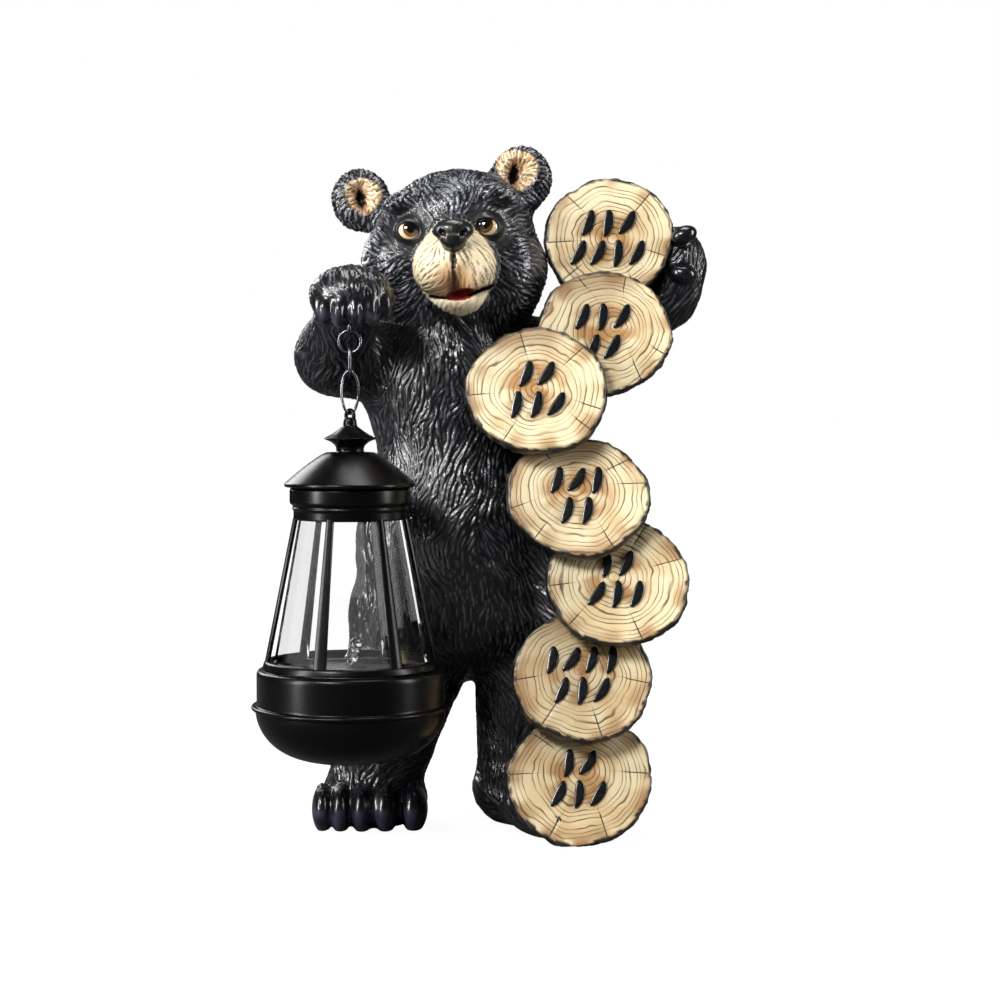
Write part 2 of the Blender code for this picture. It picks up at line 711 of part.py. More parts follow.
def lantern_roof(hook, level, material):
    """Dome, disc finial and hanging eye, hollow below."""
    stem, finial, dome, brim = (level[name] for name in ("stem", "finial", "dome", "brim"))
    foot = brim - BRIM_THICK
    outer = [
        (0, stem + EYE_WIRE),
        (STEM_TOP_RADIUS, stem + EYE_WIRE / 2),
        (STEM_RADIUS, (stem + finial) / 2),
    ]
    outer += [(FINIAL_RADIUS * out, finial - FINIAL_HEIGHT * down) for out, down in FINIAL_OUTLINE]
    outer += [(NECK_RADIUS, finial - FINIAL_HEIGHT * NECK_START), (NECK_RADIUS, dome)]
    outer += dome_curve(dome, brim)
    outer.append((BRIM_RADIUS, foot))
    inner = []
    for radius, height in dome_curve(dome, brim, 4):
        inner.append((radius - ROOF_WALL, max(height - ROOF_WALL, foot)))
    profile = outer + inner[::-1] + [(0, dome - ROOF_WALL)]
    profile = [(radius, height - brim) for radius, height in profile]
    made = turned("lantern_roof", profile, TURNED_STEPS, material)
    eye = placed("eye", wire_mesh("eye", ring_points(EYE_RADIUS, LUG_STEPS), EYE_WIRE), guide=True)
    eye.data.transform(Matrix.Rotation(EYE_TURN, 4, "Z"))
    eye.data.transform(Matrix.Translation((0, 0, level["eye"] - brim)))
    union_into(made, [eye])
    made.location = (hook.x, hook.y, brim)
    return smooth(made)


def cage_radius_top():
    """Centre of a bar at its top, just under the collar's wall."""
    return COLLAR_RADIUS - COLLAR_STEP - COLLAR_WALL / 2


def lantern_bar(number, level):
    """One leaning bar, wider at its foot, from inside the collar to inside the foot ring."""
    top, foot = level["bars"] + COLLAR_WALL / 2, level["deck"] + FIT + FOOT_RING_HEIGHT / 2
    form = bmesh.new()
    bmesh.ops.create_cube(form, size=1.0)
    for vert in form.verts:
        low = vert.co.z < 0
        width = BAR_WIDTH_FOOT if low else BAR_WIDTH_TOP
        middle = CAGE_FOOT_RADIUS if low else cage_radius_top()
        vert.co = (middle + vert.co.x * BAR_THICK, vert.co.y * width, foot if low else top)
    mesh = bpy.data.meshes.new("bar")
    form.to_mesh(mesh)
    form.free()
    mesh.transform(Matrix.Rotation(math.radians(BAR_TURNS[number]), 4, "Z"))
    return placed(f"bar_{number}", mesh, guide=True)


def lantern_cage(hook, level, material):
    """Collar of two bands, six leaning bars and a ring that stands on the deck."""
    top, foot = level["collar"], level["bars"]
    inner = COLLAR_RADIUS - COLLAR_STEP - COLLAR_WALL
    collar = [
        (inner, top),
        (COLLAR_RADIUS, top),
        (COLLAR_RADIUS, top - COLLAR_HEIGHT * COLLAR_GROOVE[0]),
        (COLLAR_RADIUS - COLLAR_STEP, top - COLLAR_HEIGHT * COLLAR_GROOVE[1]),
        (COLLAR_RADIUS - COLLAR_STEP, foot),
        (inner, foot),
        (inner, top),
    ]
    made = turned("lantern_cage", collar, TURNED_STEPS, material)
    ring_top = level["deck"] + FIT + FOOT_RING_HEIGHT
    ring_foot = level["deck"] + FIT
    ring_in = CAGE_FOOT_RADIUS - FOOT_RING_WALL / 2
    ring_out = CAGE_FOOT_RADIUS + FOOT_RING_WALL / 2
    ring = [
        (ring_in, ring_top),
        (ring_out - FOOT_RING_HEIGHT / 4, ring_top),
        (ring_out, ring_foot),
        (ring_in, ring_foot),
        (ring_in, ring_top),
    ]
    guides = [turned("foot_ring", ring, TURNED_STEPS, guide=True)]
    guides += [lantern_bar(number, level) for number in range(len(BAR_TURNS))]
    union_into(made, guides)
    made.data.transform(Matrix.Translation((0, 0, -ring_foot)))
    made.location = (hook.x, hook.y, ring_foot)
    return smooth(made)


def clear_of_flats(radius):
    """The radius that fits with a gap in a round hole of that radius, whose steps are flat."""
    return radius * math.cos(math.pi / TURNED_STEPS) - FIT


def lantern_glass(hook, level, material):
    """One clear six-sided sleeve that stands on the deck, with a corner behind each bar."""
    panes = len(BAR_TURNS)
    flat = math.cos(math.pi / panes)
    top_radius = clear_of_flats(COLLAR_RADIUS - COLLAR_STEP - COLLAR_WALL)
    foot_radius = clear_of_flats(CAGE_FOOT_RADIUS - FOOT_RING_WALL / 2)
    top, foot = level["bars"] + COLLAR_WALL, level["deck"] + FIT
    profile = [
        (foot_radius - GLASS_THICK / flat, foot),
        (top_radius - GLASS_THICK / flat, top),
        (top_radius, top),
        (foot_radius, foot),
        (foot_radius - GLASS_THICK / flat, foot),
    ]
    profile = [(radius, height - foot) for radius, height in profile]
    made = turned("lantern_glass", profile, panes, material)
    for vert in made.data.vertices:
        number = round(math.atan2(vert.co.y, vert.co.x) / (2 * math.pi / panes)) % panes
        turn = math.radians(BAR_TURNS[number])
        radius = vert.co.xy.length
        vert.co.xy = (radius * math.cos(turn), radius * math.sin(turn))
    made.location = (hook.x, hook.y, foot)
    return made


def lantern_base(hook, level, material):
    """Drum with its deck on top and a flange round its foot, open below."""
    deck, flange = level["deck"], level["flange"]
    foot = flange - FLANGE_HEIGHT
    rim = DRUM_RADIUS + FLANGE_PROUD
    profile = [
        (0, deck),
        (DRUM_RADIUS - DECK_THICK, deck),
        (DRUM_RADIUS - DRUM_BEVEL, deck - DRUM_BEVEL),
        (DRUM_RADIUS, deck - DECK_THICK),
        (DRUM_RADIUS, flange),
        (rim - FLANGE_BEVEL, flange),
        (rim, (flange + foot) / 2),
        (rim - FLANGE_BEVEL, foot),
        (DRUM_RADIUS - BASE_WALL, foot),
        (DRUM_RADIUS - BASE_WALL, deck - DECK_THICK),
        (0, deck - DECK_THICK),
    ]
    profile = [(radius, height - deck) for radius, height in profile]
    made = turned("lantern_base", profile, TURNED_STEPS, material)
    made.location = (hook.x, hook.y, deck)
    return smooth(made)


def bowl_curve(radius, depth, steps):
    """Profile of the bowl from its rim down to its bottom."""
    line = []
    for share in np.linspace(0, 1, steps):
        angle = share * math.pi / 2
        out, down = math.cos(angle) ** BOWL_SHOULDER, math.sin(angle) ** BOWL_FULLNESS
        line.append((radius * out, -depth * down))
    line[-1] = (0, -depth)
    return line


def lantern_bowl(hook, level, material):
    """Round hollow underside, open at the top under the flange."""
    rim = DRUM_RADIUS + BOWL_PROUD
    outer = bowl_curve(rim, BOWL_DEPTH, 8)
    inner = bowl_curve(rim - BASE_WALL, BOWL_DEPTH - BASE_WALL, 6)
    profile = outer[::-1] + inner
    made = turned("lantern_bowl", profile[::-1], TURNED_STEPS, material)
    made.location = (hook.x, hook.y, level["bowl"])
    return smooth(made)


def lantern_lamp(hook, level, material):
    """A small round-headed lamp that leans on two leads."""
    deck = level["deck"] + FIT
    profile = [(0, LAMP_LENGTH)]
    for angle in (math.radians(30), math.radians(60), math.radians(90)):
        height = LAMP_LENGTH - LAMP_RADIUS * (1 - math.cos(angle))
        profile.append((LAMP_RADIUS * math.sin(angle), height))
    profile += [
        (LAMP_RADIUS, LAMP_LIP * 2),
        (LAMP_RADIUS + LAMP_LIP, LAMP_LIP * 2),
        (LAMP_RADIUS + LAMP_LIP, 0),
        (0, 0),
    ]
    made = turned("lantern_lamp", profile, LAMP_STEPS, material)
    guides = []
    for side in (-0.5, 0.5):
        form = bmesh.new()
        height = LEAD_LENGTH + LEAD_SUNK
        bmesh.ops.create_cone(
            form, cap_ends=True, segments=6, radius1=LEAD_RADIUS, radius2=LEAD_RADIUS, depth=height
        )
        bmesh.ops.translate(form, verts=form.verts, vec=(side * LEAD_PITCH, 0, height / 2 - LEAD_LENGTH))
        mesh = bpy.data.meshes.new("lead")
        form.to_mesh(mesh)
        form.free()
        guides.append(placed(f"lead_{side}", mesh, guide=True))
    union_into(made, guides)
    rise = LEAD_LENGTH * math.cos(LAMP_LEAN) + LEAD_PITCH * math.sin(LAMP_LEAN)
    made.rotation_euler = (0, LAMP_LEAN, 0)
    made.location = (hook.x, hook.y, deck + rise)
    return smooth(made)


def main():
    tidy_scene()
    resin = finish("painted_resin", (0.012, 0.012, 0.018), 0.32)
    steel = finish("blackened_steel", (0.045, 0.045, 0.05), 0.38, metallic=1.0)
    plastic = finish("black_plastic", (0.010, 0.010, 0.011), 0.36)
    clear = finish("clear_plastic", (0.95, 0.96, 0.96), 0.05, clear=1.0)
    lamp = finish("clear_lamp", (0.85, 0.87, 0.85), 0.12, clear=0.8)
    cast_statue(resin)
    hook = chain(steel)
    level = lantern_heights(hook)
    lantern_roof(hook, level, plastic)
    lantern_cage(hook, level, plastic)
    lantern_glass(hook, level, clear)
    lantern_base(hook, level, plastic)
    lantern_bowl(hook, level, plastic)
    lantern_lamp(hook, level, lamp)


main()
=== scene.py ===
# %% [markdown]
# # A cast bear with a lantern
#
# This lesson dresses a garden statue: a black bear cub of painted resin, seven sawn log slices cast in
# one with it, and a plastic lantern that hangs from its paw on three links of wire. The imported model
# gives every place and outline. Here each piece gets its fine surface: carved fur, year rings, bark,
# moulded plastic and clear panes. Lengths in the code are millimetres until they enter a mesh.

# %% Frame
import math

import bmesh
import bpy
import numpy as np
from mathutils import Matrix, Vector


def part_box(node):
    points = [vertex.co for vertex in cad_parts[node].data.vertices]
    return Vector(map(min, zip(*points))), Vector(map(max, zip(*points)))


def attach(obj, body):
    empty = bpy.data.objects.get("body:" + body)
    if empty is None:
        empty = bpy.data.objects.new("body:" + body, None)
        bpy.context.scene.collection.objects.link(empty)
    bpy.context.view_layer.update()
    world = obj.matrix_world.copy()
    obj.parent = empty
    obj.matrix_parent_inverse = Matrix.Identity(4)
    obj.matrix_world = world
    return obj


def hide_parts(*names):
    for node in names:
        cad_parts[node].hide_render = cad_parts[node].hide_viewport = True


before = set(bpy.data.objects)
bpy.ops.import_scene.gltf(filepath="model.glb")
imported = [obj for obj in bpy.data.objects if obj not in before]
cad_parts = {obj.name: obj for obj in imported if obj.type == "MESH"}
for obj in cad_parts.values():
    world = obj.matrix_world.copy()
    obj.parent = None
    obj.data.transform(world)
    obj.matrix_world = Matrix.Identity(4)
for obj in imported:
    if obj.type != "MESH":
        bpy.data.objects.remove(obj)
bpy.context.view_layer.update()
MM = 0.001
TINY = 1e-6
print("nodes:", ", ".join(sorted(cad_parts)))

# %% [markdown]
# ## Place of the figure
#
# The lantern hangs in front, so the figure's own middle stands a little off the middle of the whole
# outline. The bear and the slices could be written in the frame's own numbers, but they are easier to
# read from the figure's middle, as a sculptor measures from the plumb line. One function moves them.

# %% Figure frame
FIGURE_PLACE = np.array((6.2, 37.0, 0.0))


def in_world(points):
    """Metres in the frame of points in figure millimetres: the figure's place is added, then scaled."""
    return (np.asarray(points, float) + FIGURE_PLACE) * MM


# %% [markdown]
# ## Camera
#
# A catalogue picture like this is taken with a long lens from nearly the statue's own height. A 75 mm
# lens on a 36 mm sensor, 0.94 m away and slightly above the middle, gives the same flat view.

# %% Camera
def new_object(name, data):
    """An object with that data, linked to the scene."""
    made = bpy.data.objects.new(name, data)
    bpy.context.scene.collection.objects.link(made)
    return made


camera = new_object("camera", bpy.data.cameras.new("camera"))
camera.data.lens = 75
camera.data.sensor_width = 36
camera.location = (0.0062, -0.903, 0.1914)
camera.rotation_euler = (math.radians(90 - 2.75), 0, 0)
bpy.context.scene.camera = camera
bpy.context.scene.view_settings.view_transform = "Standard"
print("camera at", [round(v, 3) for v in camera.location])


# %% [markdown]
# ## Colours and nodes
#
# Paint colours are given as screen values, while light adds up in linear values, so one function
# turns a hex code to linear. Node trees are built with one small helper that adds a node and fills its
# inputs. An input takes a number, or the output of another node.

# %% Colour and node helpers
def linear(code):
    """Linear colour of an sRGB hex code: each channel through the standard's curve, alpha 1."""
    channels = [int(code[i:i + 2], 16) / 255 for i in (1, 3, 5)]
    return (*[c / 12.92 if c <= 0.04045 else ((c + 0.055) / 1.055) ** 2.4 for c in channels], 1.0)


def fill(node, **inputs):
    """Sets a node's inputs to numbers, or links them to outputs. In a name _ stands for a space; before a
    number it marks the input of that number."""
    for name, value in inputs.items():
        socket = node.inputs[int(name[1:]) if name[0] == "_" else name.replace("_", " ")]
        if isinstance(value, bpy.types.NodeSocket):
            node.id_data.links.new(value, socket)
        else:
            socket.default_value = value


def add(tree, kind, settings=None, out=0, **inputs):
    """Adds a node with its own settings, fills its inputs and gives its output of that name or number, if
    it has outputs at all."""
    made = tree.nodes.new("ShaderNode" + kind)
    for name, value in (settings or {}).items():
        setattr(made, name, value)
    fill(made, **inputs)
    return made.outputs[out] if made.outputs else made


def new_material(name, **inputs):
    """A material with a Principled shader, with its node tree and that shader."""
    made = bpy.data.materials.new(name)
    made.use_nodes = True
    tree = made.node_tree
    tree.nodes.clear()
    surface = add(tree, "BsdfPrincipled", **inputs)
    add(tree, "OutputMaterial", Surface=surface)
    return made, tree, surface.node


def maths(tree, operation, first, second=0.5):
    """A sum, product or the like of two inputs; some use the first alone."""
    return add(tree, "Math", {"operation": operation}, _0=first, _1=second)


def spread(tree, value, low, high, to_low=0.0, to_high=1.0):
    """A number carried from one range to another and held at its ends; low may be the greater."""
    return add(tree, "MapRange", Value=value, From_Min=low, From_Max=high, To_Min=to_low, To_Max=to_high)


def kept(tree, name, out="Fac"):
    """The number, or with out Color the colour, kept at the points of the mesh under that name."""
    return add(tree, "Attribute", {"attribute_name": name}, out)


def speckle(tree, size, detail):
    """Noise over the piece's own coordinates, its cells that many millimetres wide."""
    here = add(tree, "TexCoord", out="Object")
    return add(tree, "TexNoise", out="Fac", Vector=here, Scale=1 / (size * MM), Detail=detail)


def roughen(shader, size, detail, low, high):
    """Roughness from low to high over that noise."""
    tree = shader.id_data
    fill(shader, Roughness=spread(tree, speckle(tree, size, detail), 0.0, 1.0, low, high))


def dent(shader, size, detail, strength, deep):
    """A bump over that noise, that many millimetres deep."""
    tree = shader.id_data
    noise_here = speckle(tree, size, detail)
    fill(shader, Normal=add(tree, "Bump", Height=noise_here, Strength=strength, Distance=deep * MM))


# %% [markdown]
# ## Studio
#
# Glossy black shows only what it mirrors. A soft box stands high in front and lights the painted wood,
# two strips at the sides draw bright lines along the lantern's edges, and the rest stays dark. World and
# floor are white to the lens alone, straight or through a pane, as in a cut-out catalogue picture.

# %% Lights and world
def soft_box(name, place, size, power):
    """A rectangular area light that faces the statue's middle."""
    lamp = bpy.data.lights.new(name, "AREA")
    lamp.shape = "RECTANGLE"
    lamp.size, lamp.size_y = size
    lamp.energy = power
    made = new_object(name, lamp)
    made.location = place
    made.rotation_euler = (Vector((0, 0, 0.15)) - Vector(place)).to_track_quat("-Z", "Y").to_euler()


def in_picture(tree):
    """1 for rays from the lens and for those that went through a pane, else 0."""
    ray = add(tree, "LightPath").node.outputs
    return maths(tree, "MAXIMUM", ray["Is Camera Ray"], ray["Is Transmission Ray"])


WHITE = (1, 1, 1, 1)
soft_box("key_box", (-0.50, -0.90, 0.80), (0.36, 0.26), 13)
soft_box("left_strip", (-0.92, -0.48, 0.38), (0.14, 0.75), 13)
soft_box("right_strip", (0.98, -0.25, 0.42), (0.14, 0.75), 7)
soft_box("top_box", (0.05, 0.05, 1.15), (0.60, 0.30), 5)
soft_box("back_box", (-0.60, 0.80, 0.60), (0.40, 0.60), 5)
world = bpy.data.worlds.new("studio")
bpy.context.scene.world = world
world.use_nodes = True
sky = world.node_tree
sky.nodes.clear()
mild = add(sky, "Background", Color=(0.93, 0.96, 1, 1), Strength=0.07)
white = add(sky, "Background", Color=WHITE, Strength=1.0)
add(sky, "OutputWorld", Surface=add(sky, "MixShader", _0=in_picture(sky), _1=mild, _2=white))

# %% Floor
floor_mesh = bpy.data.meshes.new("floor")
ground = -0.0008
floor_mesh.from_pydata([(x, y, ground) for x, y in ((-6, -3), (6, -3), (6, 9), (-6, 9))], [], [(0, 1, 2, 3)])
floor = new_object("floor", floor_mesh)
pale, tree, shader = new_material("pale_floor", Base_Color=linear("#4c4c4c"), Roughness=0.9,
                                  Emission_Color=WHITE)
# It glows white in the picture, a little more far from the statue, where it gets less light.
here = add(tree, "TexCoord", out="Object")
far = add(tree, "VectorMath", {"operation": "LENGTH"}, "Value", _0=here)
level = spread(tree, far, 0.3, 1.2, 0.96, 1.02)
fill(shader, Emission_Strength=maths(tree, "MULTIPLY", in_picture(tree), level))
floor.data.materials.append(pale)

# %% [markdown]
# ## Clay forms
#
# A modeller builds such a bear from balls and sausages of clay, pressed together and smoothed with a
# thumb. It could be sculpted point by point, but balls and limbs with names and sizes can be corrected
# one at a time. Each has a body part, a centre, radii and a lean about the front axis in degrees.

# %% Large balls and limbs
BALLS = {
    "skull": ("head", (-20, -6, 264), (35, 33, 27), -8),
    "forehead": ("head", (-20.5, -14, 276.5), (24, 22, 15), -8),
    "left_cheek": ("head", (2.5, -13, 249), (18.5, 22, 18), 0),
    "right_cheek": ("head", (-43, -13, 252), (18.5, 22, 18), 0),
    "left_jaw": ("head", (-3, -10, 237), (18, 20, 15), 0),
    "right_jaw": ("head", (-34.5, -10, 238), (17, 20, 15), 0),
    "left_ear": ("head", (9, 1, 289.8), (14, 5.5, 15.3), 20),
    "right_ear": ("head", (-62.5, 3, 281), (13, 5.5, 14.5), -22),
    "chest": ("torso", (-24, 0, 196), (36, 32, 36), 0),
    "belly": ("torso", (-18, -2, 126), (47, 38, 56), 0),
    "hips": ("legs", (-15, 1, 98), (52, 35, 29), 0),
    "tail": ("legs", (-16, 31, 76), (10, 10, 9), 0),
    "right_paw": ("right_arm", (-62.5, -60, 235.5), (17.5, 15, 12.5), 0),
    "left_paw": ("left_arm", (80, -5, 252), (12, 10.5, 16.5), -6),
    "right_foot": ("legs", (-57.5, 0, 10), (24, 26, 12.5), 0),
    "left_foot": ("legs", (26, -18, 10), (24, 34, 13), 0),
    "left_heel": ("legs", (10, 4, 14), (21.5, 22, 14), 0),
}
LIMBS = {
    "neck": ("torso", (-21, 1, 240), (-27, 1, 210), 28, 32),
    "right_upper_arm": ("right_arm", (-38, -4, 208), (-73, -17, 210), 22, 16),
    "right_forearm": ("right_arm", (-73, -18, 212), (-65, -50, 230), 15.5, 12),
    "left_upper_arm": ("left_arm", (6, 5, 210), (43, 10, 213), 20, 13),
    "left_forearm": ("left_arm", (43, 10, 213), (76, 0, 236), 12.5, 12),
    "right_leg": ("legs", (-42, 1, 86), (-57, 1, 20), 25, 20.5),
    "right_thigh": ("legs", (-36, 1, 84), (-52, 1, 40), 26, 21),
    "left_leg": ("legs", (13, 2, 86), (12, 8, 16), 25, 21.5),
    "waist": ("torso", (-23, 0, 195), (-19.5, -1, 132), 31.5, 35),
    "pile": ("torso", (25, -23, 195), (27, -22, 18), 10, 11),
}
print(len(BALLS), "balls and", len(LIMBS), "limbs")

# %% [markdown]
# ## Face, toes and claws
#
# The small forms meet the rest with a tight fillet, so that a lip or a toe keeps its edge. Hollows are
# pressed in afterwards: the bowls of the ears, the eye slits between the lids, the nostrils, the mouth,
# the groove under the nose and the smile, which is a row of small hollows along a curve.

# %% Small forms
SMALL_BALLS = {
    "muzzle": ("head", (-18.8, -38, 250.5), (18.5, 24, 14), 0),
    "bridge": ("head", (-20.5, -40, 263), (9.5, 17.5, 8), 0),
    "left_lip": ("head", (-10.8, -48, 246.5), (10.2, 12, 10.5), -10),
    "right_lip": ("head", (-26.8, -48, 246.5), (10.2, 12, 10.5), 10),
    "chin": ("head", (-18.3, -38.5, 234.2), (13.8, 14, 6.8), -5),
    "left_brow": ("head", (-3, -29.5, 280.5), (11, 6, 5), 14),
    "right_brow": ("head", (-40.5, -28.5, 278), (11, 6, 5), -18),
    "nose": ("head", (-19.8, -60.5, 262.6), (8.8, 6.3, 5), 0),
    "nose_tip": ("head", (-19.7, -61.5, 258.8), (5.4, 5.2, 4.8), 0),
    "left_lids": ("head", (-5.5, -33.8, 266.3), (7.0, 5.8, 5.8), 10),
    "right_lids": ("head", (-39.3, -33.2, 264.6), (7.0, 5.8, 5.8), 6),
    "left_upper_claw": ("left_arm", (81, -17, 264), (6, 5, 4), -20),
    "left_lower_claw": ("left_arm", (81, -17, 247), (6, 5, 4), 10),
}
HOLLOWS = {
    "left_ear_bowl": ((8.6, -6, 292.6), (9, 5, 7.8), 20),
    "right_ear_bowl": ((-62.6, -4, 282.6), (7.6, 5, 7.8), -22),
    "left_ear_pit": ((6.0, -3, 291.8), (2.0, 6.0, 4.8), 8),
    "right_ear_pit": ((-62.6, -1, 281.4), (2.1, 6.0, 4.0), -10),
    "mouth": ((-16.7, -55, 236.0), (7.0, 9, 2.3), -8),
    "left_eye_slit": ((-5.4, -41.0, 265.9), (6.1, 5.8, 4.3), 12),
    "right_eye_slit": ((-39.3, -40.4, 264.2), (6.1, 5.8, 4.4), 7),
    "left_nostril": ((-15.4, -67.0, 261.2), (1.9, 3.2, 1.2), -35),
    "right_nostril": ((-24.2, -67.0, 261.2), (1.9, 3.2, 1.2), 35),
}
EYES = {"left": (-5.5, -33.9, 266.2), "right": (-39.3, -33.3, 264.5)}
EYE_RADII = (5.9, 4.9, 5.2)
SOFT, TIGHT, PRESS = 8.0, 2.2, 1.0
# Depth where no form is near, and how far beyond its box a form can change points.
FAR, MARGIN = 60.0, 11.0
GROOVE_X = -19.4


# %% Rows of small forms
def toes():
    """Five toes, wider to the inner side: each one's y grows with the square of its distance from the
    middle toe."""
    for number, across in enumerate((-79.0, -71.0, -61.5, -51.0, -38.5)):
        back, wide = 0.0045 * (across + 60) ** 2, 5.0 + 0.03 * (across + 79)
        yield f"toe_{number}", ("legs", (across, -18 + back, 9.2), (wide, 11.0, 11.0), 0)


def claws():
    """Five claws bent down over the paw's front edge, set back and up with the square of the distance
    from the second."""
    for number, across in enumerate((-73.2, -66.8, -60.2, -53.8, -47.8)):
        back = 0.025 * (across + 64) ** 2
        yield f"claw_{number}", ("right_arm", (across, -69 + back, 227.8 + back / 2), (3.8, 7.5, 6.8), 0)


def mouth_line(x):
    """Height of the line between the lips, a parabola that climbs more to the left ear's side."""
    return 234.8 + 0.0162 * (x + 22.3) ** 2


def smile():
    """Thin hollows along the mouth line: they set back with the square of the distance from its middle."""
    for number, x in enumerate(np.linspace(-32.0, -4.6, 17)):
        back = 0.038 * (x + 19.5) ** 2
        yield f"smile_{number}", ((x, -54 + back, mouth_line(x)), (2.4, 6.6, 0.5), 0)


def groove():
    """Small hollows from the nose straight down to the mouth."""
    for number, z in enumerate(np.linspace(238, 251, 7)):
        wide = 0.55 + 0.035 * (z - 238)
        yield f"groove_{number}", ((GROOVE_X, -62.5 + 0.010 * (z - 247) ** 2, z), (wide, 2.6, 1.9), 0)


FORMS = {**SMALL_BALLS, **dict(toes()), **dict(claws())}
PRESSED = {**HOLLOWS, **dict(smile()), **dict(groove())}
print(len(FORMS), "small forms and", len(PRESSED), "hollows")


# %% [markdown]
# ## Depth of the clay
#
# Every form has a depth: the distance to its skin, negative inside. The depth of two joined forms is
# the smaller one, lowered by a parabola near the joint, which is a thumb's fillet. A form can only
# change points near it, so the others are left out of its sum.

# %% Depth functions
def lean_matrix(degrees):
    """Rotation about the front axis."""
    return np.array(Matrix.Rotation(math.radians(degrees), 3, "Y"))


def ball_depth(points, centre, radii, lean):
    """Ellipsoid: with q the point over the radii, |q| (|q| - 1) over |q over the radii|."""
    scaled = (points - np.array(centre)) @ lean_matrix(lean) / np.array(radii)
    reach = np.linalg.norm(scaled, axis=1)
    slope = np.linalg.norm(scaled / np.array(radii), axis=1)
    return reach * (reach - 1) / np.maximum(slope, TINY)


def limb_depth(points, start, end, first, last):
    """Tapered limb: distance to the nearest point of the axis, less the radius there."""
    start = np.array(start, float)
    axis = np.array(end, float) - start
    along = np.clip((points - start) @ axis / (axis @ axis), 0, 1)
    return np.linalg.norm(points - start - along[:, None] * axis, axis=1) - first - (last - first) * along


def join_soft(a, b, fillet):
    """The smaller of two depths, lowered by a parabola where they are within a fillet."""
    blend = np.maximum(fillet - np.abs(a - b), 0) / fillet
    return np.minimum(a, b) - blend * blend * fillet / 4


# %% Depth of the whole figure
def near(points, low, high, margin):
    """Rows of the points inside a box grown by a margin."""
    return np.flatnonzero(((points > low - margin) & (points < high + margin)).all(axis=1))


def laid_forms():
    """Every form in the order it is laid: its depth function, body part, box, values and fillet."""
    for part, start, end, first, last in LIMBS.values():
        ends, wide = np.array((start, end)), max(first, last)
        yield limb_depth, part, (ends.min(0) - wide, ends.max(0) + wide), (start, end, first, last), SOFT
    for forms, fillet in ((BALLS, SOFT), (FORMS, TIGHT)):
        for part, centre, radii, lean in forms.values():
            wide, middle = max(radii), np.array(centre)
            yield ball_depth, part, (middle - wide, middle + wide), (centre, radii, lean), fillet


def clay(points, only=None):
    """Depth of the whole figure without its hollows, or of one body part."""
    skin = np.full(len(points), FAR)
    for depth, part, reach, values, fillet in laid_forms():
        if only and part != only:
            continue
        rows = near(points, *reach, MARGIN)
        if len(rows):
            skin[rows] = join_soft(skin[rows], depth(points[rows], *values), fillet)
    return skin


def clay_slope(points, step=0.08):
    """Slope of the depth from the four corners of a small tetrahedron."""
    corners = np.array(((1, -1, -1), (-1, -1, 1), (-1, 1, -1), (1, 1, 1)), float)
    return sum(corner * clay(points + step * corner)[:, None] for corner in corners) / (4 * step)


# %% [markdown]
# ## Skin
#
# The balls are laid as plain spheres and drawn over with one even net of small squares, which is what a
# voxel remesh gives. Each point of the net then moves along the clay's slope until its depth is nought,
# so that the fillets come out exactly. 0.66 mm squares are just fine enough for a carved strand.

# %% Net over the rough forms
SKIN_STEP, LONGEST_MOVE = 0.66, 1.5


def rough_balls():
    """Centres, radii and leans of all balls, and of balls half a radius apart along each limb."""
    for _, centre, radii, lean in [*BALLS.values(), *FORMS.values()]:
        yield centre, radii, lean
    for _, start, end, first, last in LIMBS.values():
        start, end = np.array(start, float), np.array(end, float)
        for share in np.linspace(0, 1, 2 + int(2 * np.linalg.norm(end - start) / min(first, last))):
            yield start + share * (end - start), (first + (last - first) * share,) * 3, 0


def net_over(balls, step):
    """One closed net around many balls: spheres in a mesh, voxel remeshed. Points and squares."""
    form = bmesh.new()
    for centre, radii, lean in balls:
        place = Matrix.Translation(Vector([float(c) for c in centre]))
        turn = Matrix.Rotation(math.radians(lean), 4, "Y")
        size = Matrix.Diagonal((*[float(r) for r in radii], 1.0))
        bmesh.ops.create_icosphere(form, subdivisions=4, radius=1.0, matrix=place @ turn @ size)
    mesh = bpy.data.meshes.new("rough")
    form.to_mesh(mesh)
    form.free()
    holder = new_object("rough", mesh)
    remesh = holder.modifiers.new("net", "REMESH")
    remesh.mode = "VOXEL"
    remesh.voxel_size = step
    bpy.context.view_layer.update()
    net = bpy.data.meshes.new_from_object(holder.evaluated_get(bpy.context.evaluated_depsgraph_get()))
    bpy.data.objects.remove(holder, do_unlink=True)
    points = np.empty(len(net.vertices) * 3)
    net.vertices.foreach_get("co", points)
    corners = np.empty(len(net.loops), np.int32)
    net.loops.foreach_get("vertex_index", corners)
    bpy.data.meshes.remove(net)
    return points.reshape(-1, 3), corners.reshape(-1, 4)


# %% Draw the net to the clay
def edge_ends(quads, steps=(1,)):
    """Pairs of points that share a square, that many corners apart."""
    return np.concatenate([quads[:, [k, (k + j) % 4]] for k in range(4) for j in steps])


def relax(points, quads):
    """Moves each point halfway to the mean of the points it shares an edge with."""
    ends = edge_ends(quads)
    total = np.stack([np.bincount(ends[:, 0], points[ends[:, 1], k], len(points)) for k in range(3)], 1)
    count = np.bincount(ends[:, 0], minlength=len(points))[:, None]
    return 0.5 * points + 0.5 * total / np.maximum(count, 1)


def draw_to_skin(points, rounds):
    """Newton steps along the slope, each cut to the longest move along every axis."""
    for _ in range(rounds):
        slope = clay_slope(points)
        square = np.maximum((slope * slope).sum(axis=1), 0.1)
        move = (clay(points) / square)[:, None] * slope
        points = points - np.clip(move, -LONGEST_MOVE, LONGEST_MOVE)
    return points


def unit(vectors):
    """Each row divided by its length."""
    return vectors / np.maximum(np.linalg.norm(vectors, axis=1), TINY)[:, None]


